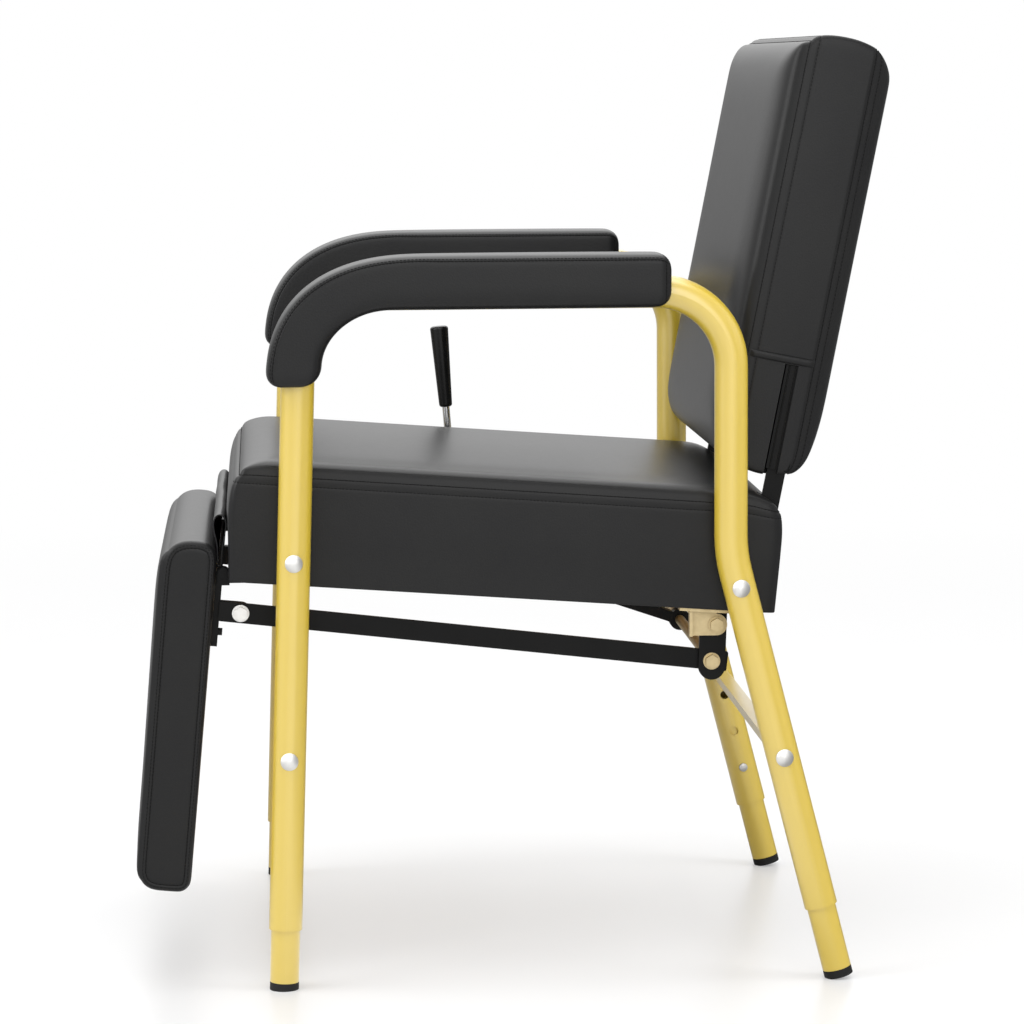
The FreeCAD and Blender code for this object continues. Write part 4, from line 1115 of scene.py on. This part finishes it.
# Small waves across the chair: height, length of one radian, and phase. They grow with height, from a place up
# and over a run, and these shares of them are felt in Y and Z.
FLAP_WAVES = [(0.5, 47.0, 0.0), (0.35, 21.0, 1.0)]
WAVE_FROM, WAVE_RUN = 420, 35
WAVE_Y, WAVE_Z = 0.8, 0.5


def smooth_line(points, times):
    """Corner cutting, which keeps the two ends."""
    for _ in range(times):
        a, b = points[:-1], points[1:]
        mid = np.stack([0.75 * a + 0.25 * b, 0.25 * a + 0.75 * b], 1).reshape(-1, 2)
        points = np.vstack([points[:1], mid[1:-1], points[-1:]])
    return points


def gap_flap():
    path = smooth_line(np.array(FLAP_PATH), times=3)
    ahead = unit(np.gradient(path, axis=0))
    out = np.stack([-ahead[:, 1], ahead[:, 0]], 1) * FLAP_HALF_T
    loop = np.vstack([path + out, (path - out)[::-1]])
    m, h = len(loop), len(path)
    points = []
    for x in np.linspace(-FLAP_HW, FLAP_HW, FLAP_STEPS):
        wave = sum(high * math.sin(x / radian + phase) for high, radian, phase in FLAP_WAVES)
        for (y, z), s in zip(loop, rising(loop[:, 1], WAVE_FROM, WAVE_RUN)):
            points.append((x, y + wave * s * WAVE_Y, z + wave * s * WAVE_Z))
    faces = tube_faces(FLAP_STEPS, m)
    for base in (0, (FLAP_STEPS - 1) * m):
        for b in range(h - 1):
            faces.append((base + b, base + b + 1, base + m - 2 - b, base + m - 1 - b))
    obj = make_object("gap_flap_cover", world(points, FLAT), faces, VINYL)
    recalculate(obj)
    obj.data.set_sharp_from_angle(angle=math.radians(FOLD_ANGLE))
    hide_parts("gap_flap")
    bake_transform(obj)


# Stage

WHITE = (1, 1, 1, 1)
FLOOR_SIZE = 60.0
# Brightness of the floor in glossy faces, of the sky as soft light, and of what the camera sees of both.
FLOOR_SHEEN = 0.52
SOFT_LIGHT = 0.8
SEEN_LIGHT = 1.0
# Lamps, in metres and watts: place, aim, size, power, and whether glossy faces show them.
LAMPS = {
    "overhead": ((0.2, -0.3, 3.2), (0, 0, 0.4), (3.0, 3.0), 60, True),
    "front": ((0.9, -3.0, 2.0), (0, 0, 0.5), (2.4, 2.0), 55, True),
    "near": ((3.4, 0.5, 1.8), (0, 0, 0.5), (2.4, 2.2), 28, True),
    "rear": ((0.9, 3.0, 1.6), (0, 0, 0.6), (1.8, 1.6), 42, False),
}


def mirrored(n, aim, behind):
    """How bright the studio looks in a glossy face: even on the near side, dim to the front and rear."""
    parts = n.add("ShaderNodeSeparateXYZ", {"Vector": aim}).outputs
    near = n.mapped(parts["X"], -0.3, 0.4, behind, 1.3)
    rear = n.mapped(parts["Y"], 0.22, 0.62, 1.0, 0.35)
    front = n.mapped(parts["Y"], -0.7, -0.25, 0.75, 1.0)
    return n.math("MULTIPLY", near, n.math("MULTIPLY", rear, front))


def glow(n, strength):
    return n.add("ShaderNodeEmission", {"Color": WHITE, "Strength": strength}).outputs["Emission"]


def make_floor():
    """A pale floor that takes shadows near the chair, and is white further off."""
    made, n = material("floor")
    path = n.add("ShaderNodeLightPath").outputs
    spot = n.add("ShaderNodeTexCoord").outputs["Object"]
    far = n.add("ShaderNodeVectorMath", {0: spot}, operation="LENGTH").outputs["Value"]
    white = n.math("MULTIPLY", path["Is Camera Ray"], n.mapped(far, 0.5, 3.5, 0.28, 1.0))
    tone = n.ramp(n.noise(3), (0.67, 0.67, 0.675), (0.69, 0.69, 0.695))
    paint = {"Base Color": tone, "Roughness": 0.32, "Specular IOR Level": 0.35}
    base = n.add("ShaderNodeBsdfPrincipled", paint).outputs["BSDF"]
    seen = n.mix(white, base, glow(n, SEEN_LIGHT))
    aim = n.add("ShaderNodeVectorMath", {0: spot}, operation="NORMALIZE").outputs["Vector"]
    both = n.mix(path["Is Glossy Ray"], seen, glow(n, mirrored(n, aim, FLOOR_SHEEN)))
    n.add("ShaderNodeOutputMaterial", {"Surface": both})
    r = FLOOR_SIZE
    floor = make_object("floor", [(-r, -r, 0), (r, -r, 0), (r, r, 0), (-r, r, 0)], [(0, 1, 2, 3)], made)


def sky_light(n, strength):
    return n.add("ShaderNodeBackground", {"Color": WHITE, "Strength": strength}).outputs["Background"]


def make_world():
    """White to the camera, even for soft light, and brighter with height in glossy faces."""
    sky = bpy.data.worlds.new("studio")
    SCENE.world = sky
    n = Nodes(sky)
    path = n.add("ShaderNodeLightPath").outputs
    aim = n.add("ShaderNodeTexCoord").outputs["Generated"]
    high = n.add("ShaderNodeSeparateXYZ", {"Vector": aim}).outputs["Z"]
    low = n.mapped(high, 0.0, 0.22, 0.36, 1.36)
    over = n.mapped(high, 0.22, 0.5, 0.0, 1.2)
    mirror = sky_light(n, mirrored(n, aim, n.math("ADD", low, over)))
    shiny = n.math("MAXIMUM", path["Is Glossy Ray"], path["Is Transmission Ray"])
    light = n.mix(shiny, sky_light(n, SOFT_LIGHT), mirror)
    both = n.mix(path["Is Camera Ray"], light, sky_light(n, SEEN_LIGHT))
    n.add("ShaderNodeOutputWorld", {"Surface": both})


def make_lamp(name, place, aim, size, power, glossy):
    data = bpy.data.lights.new(name, "AREA")
    data.shape = "RECTANGLE"
    data.size, data.size_y = size
    data.energy = power
    lamp = bpy.data.objects.new(name, data)
    SCENE.collection.objects.link(lamp)
    lamp.visible_glossy = glossy
    lamp.location = place
    lamp.rotation_euler = (Vector(aim) - Vector(place)).to_track_quat("-Z", "Y").to_euler()


def make_stage():
    make_floor()
    make_world()
    for name, settings in LAMPS.items():
        make_lamp(name, *settings)


make_camera()
dress_cad_nodes()
seat_cushion()
back_cushion()
back_hem("left", 1)
back_hem("right", -1)
legrest_pad()
arm_pad("left", 1)
arm_pad("right", -1)
gap_flap()
make_stage()
SCENE.view_settings.view_transform = "Standard"
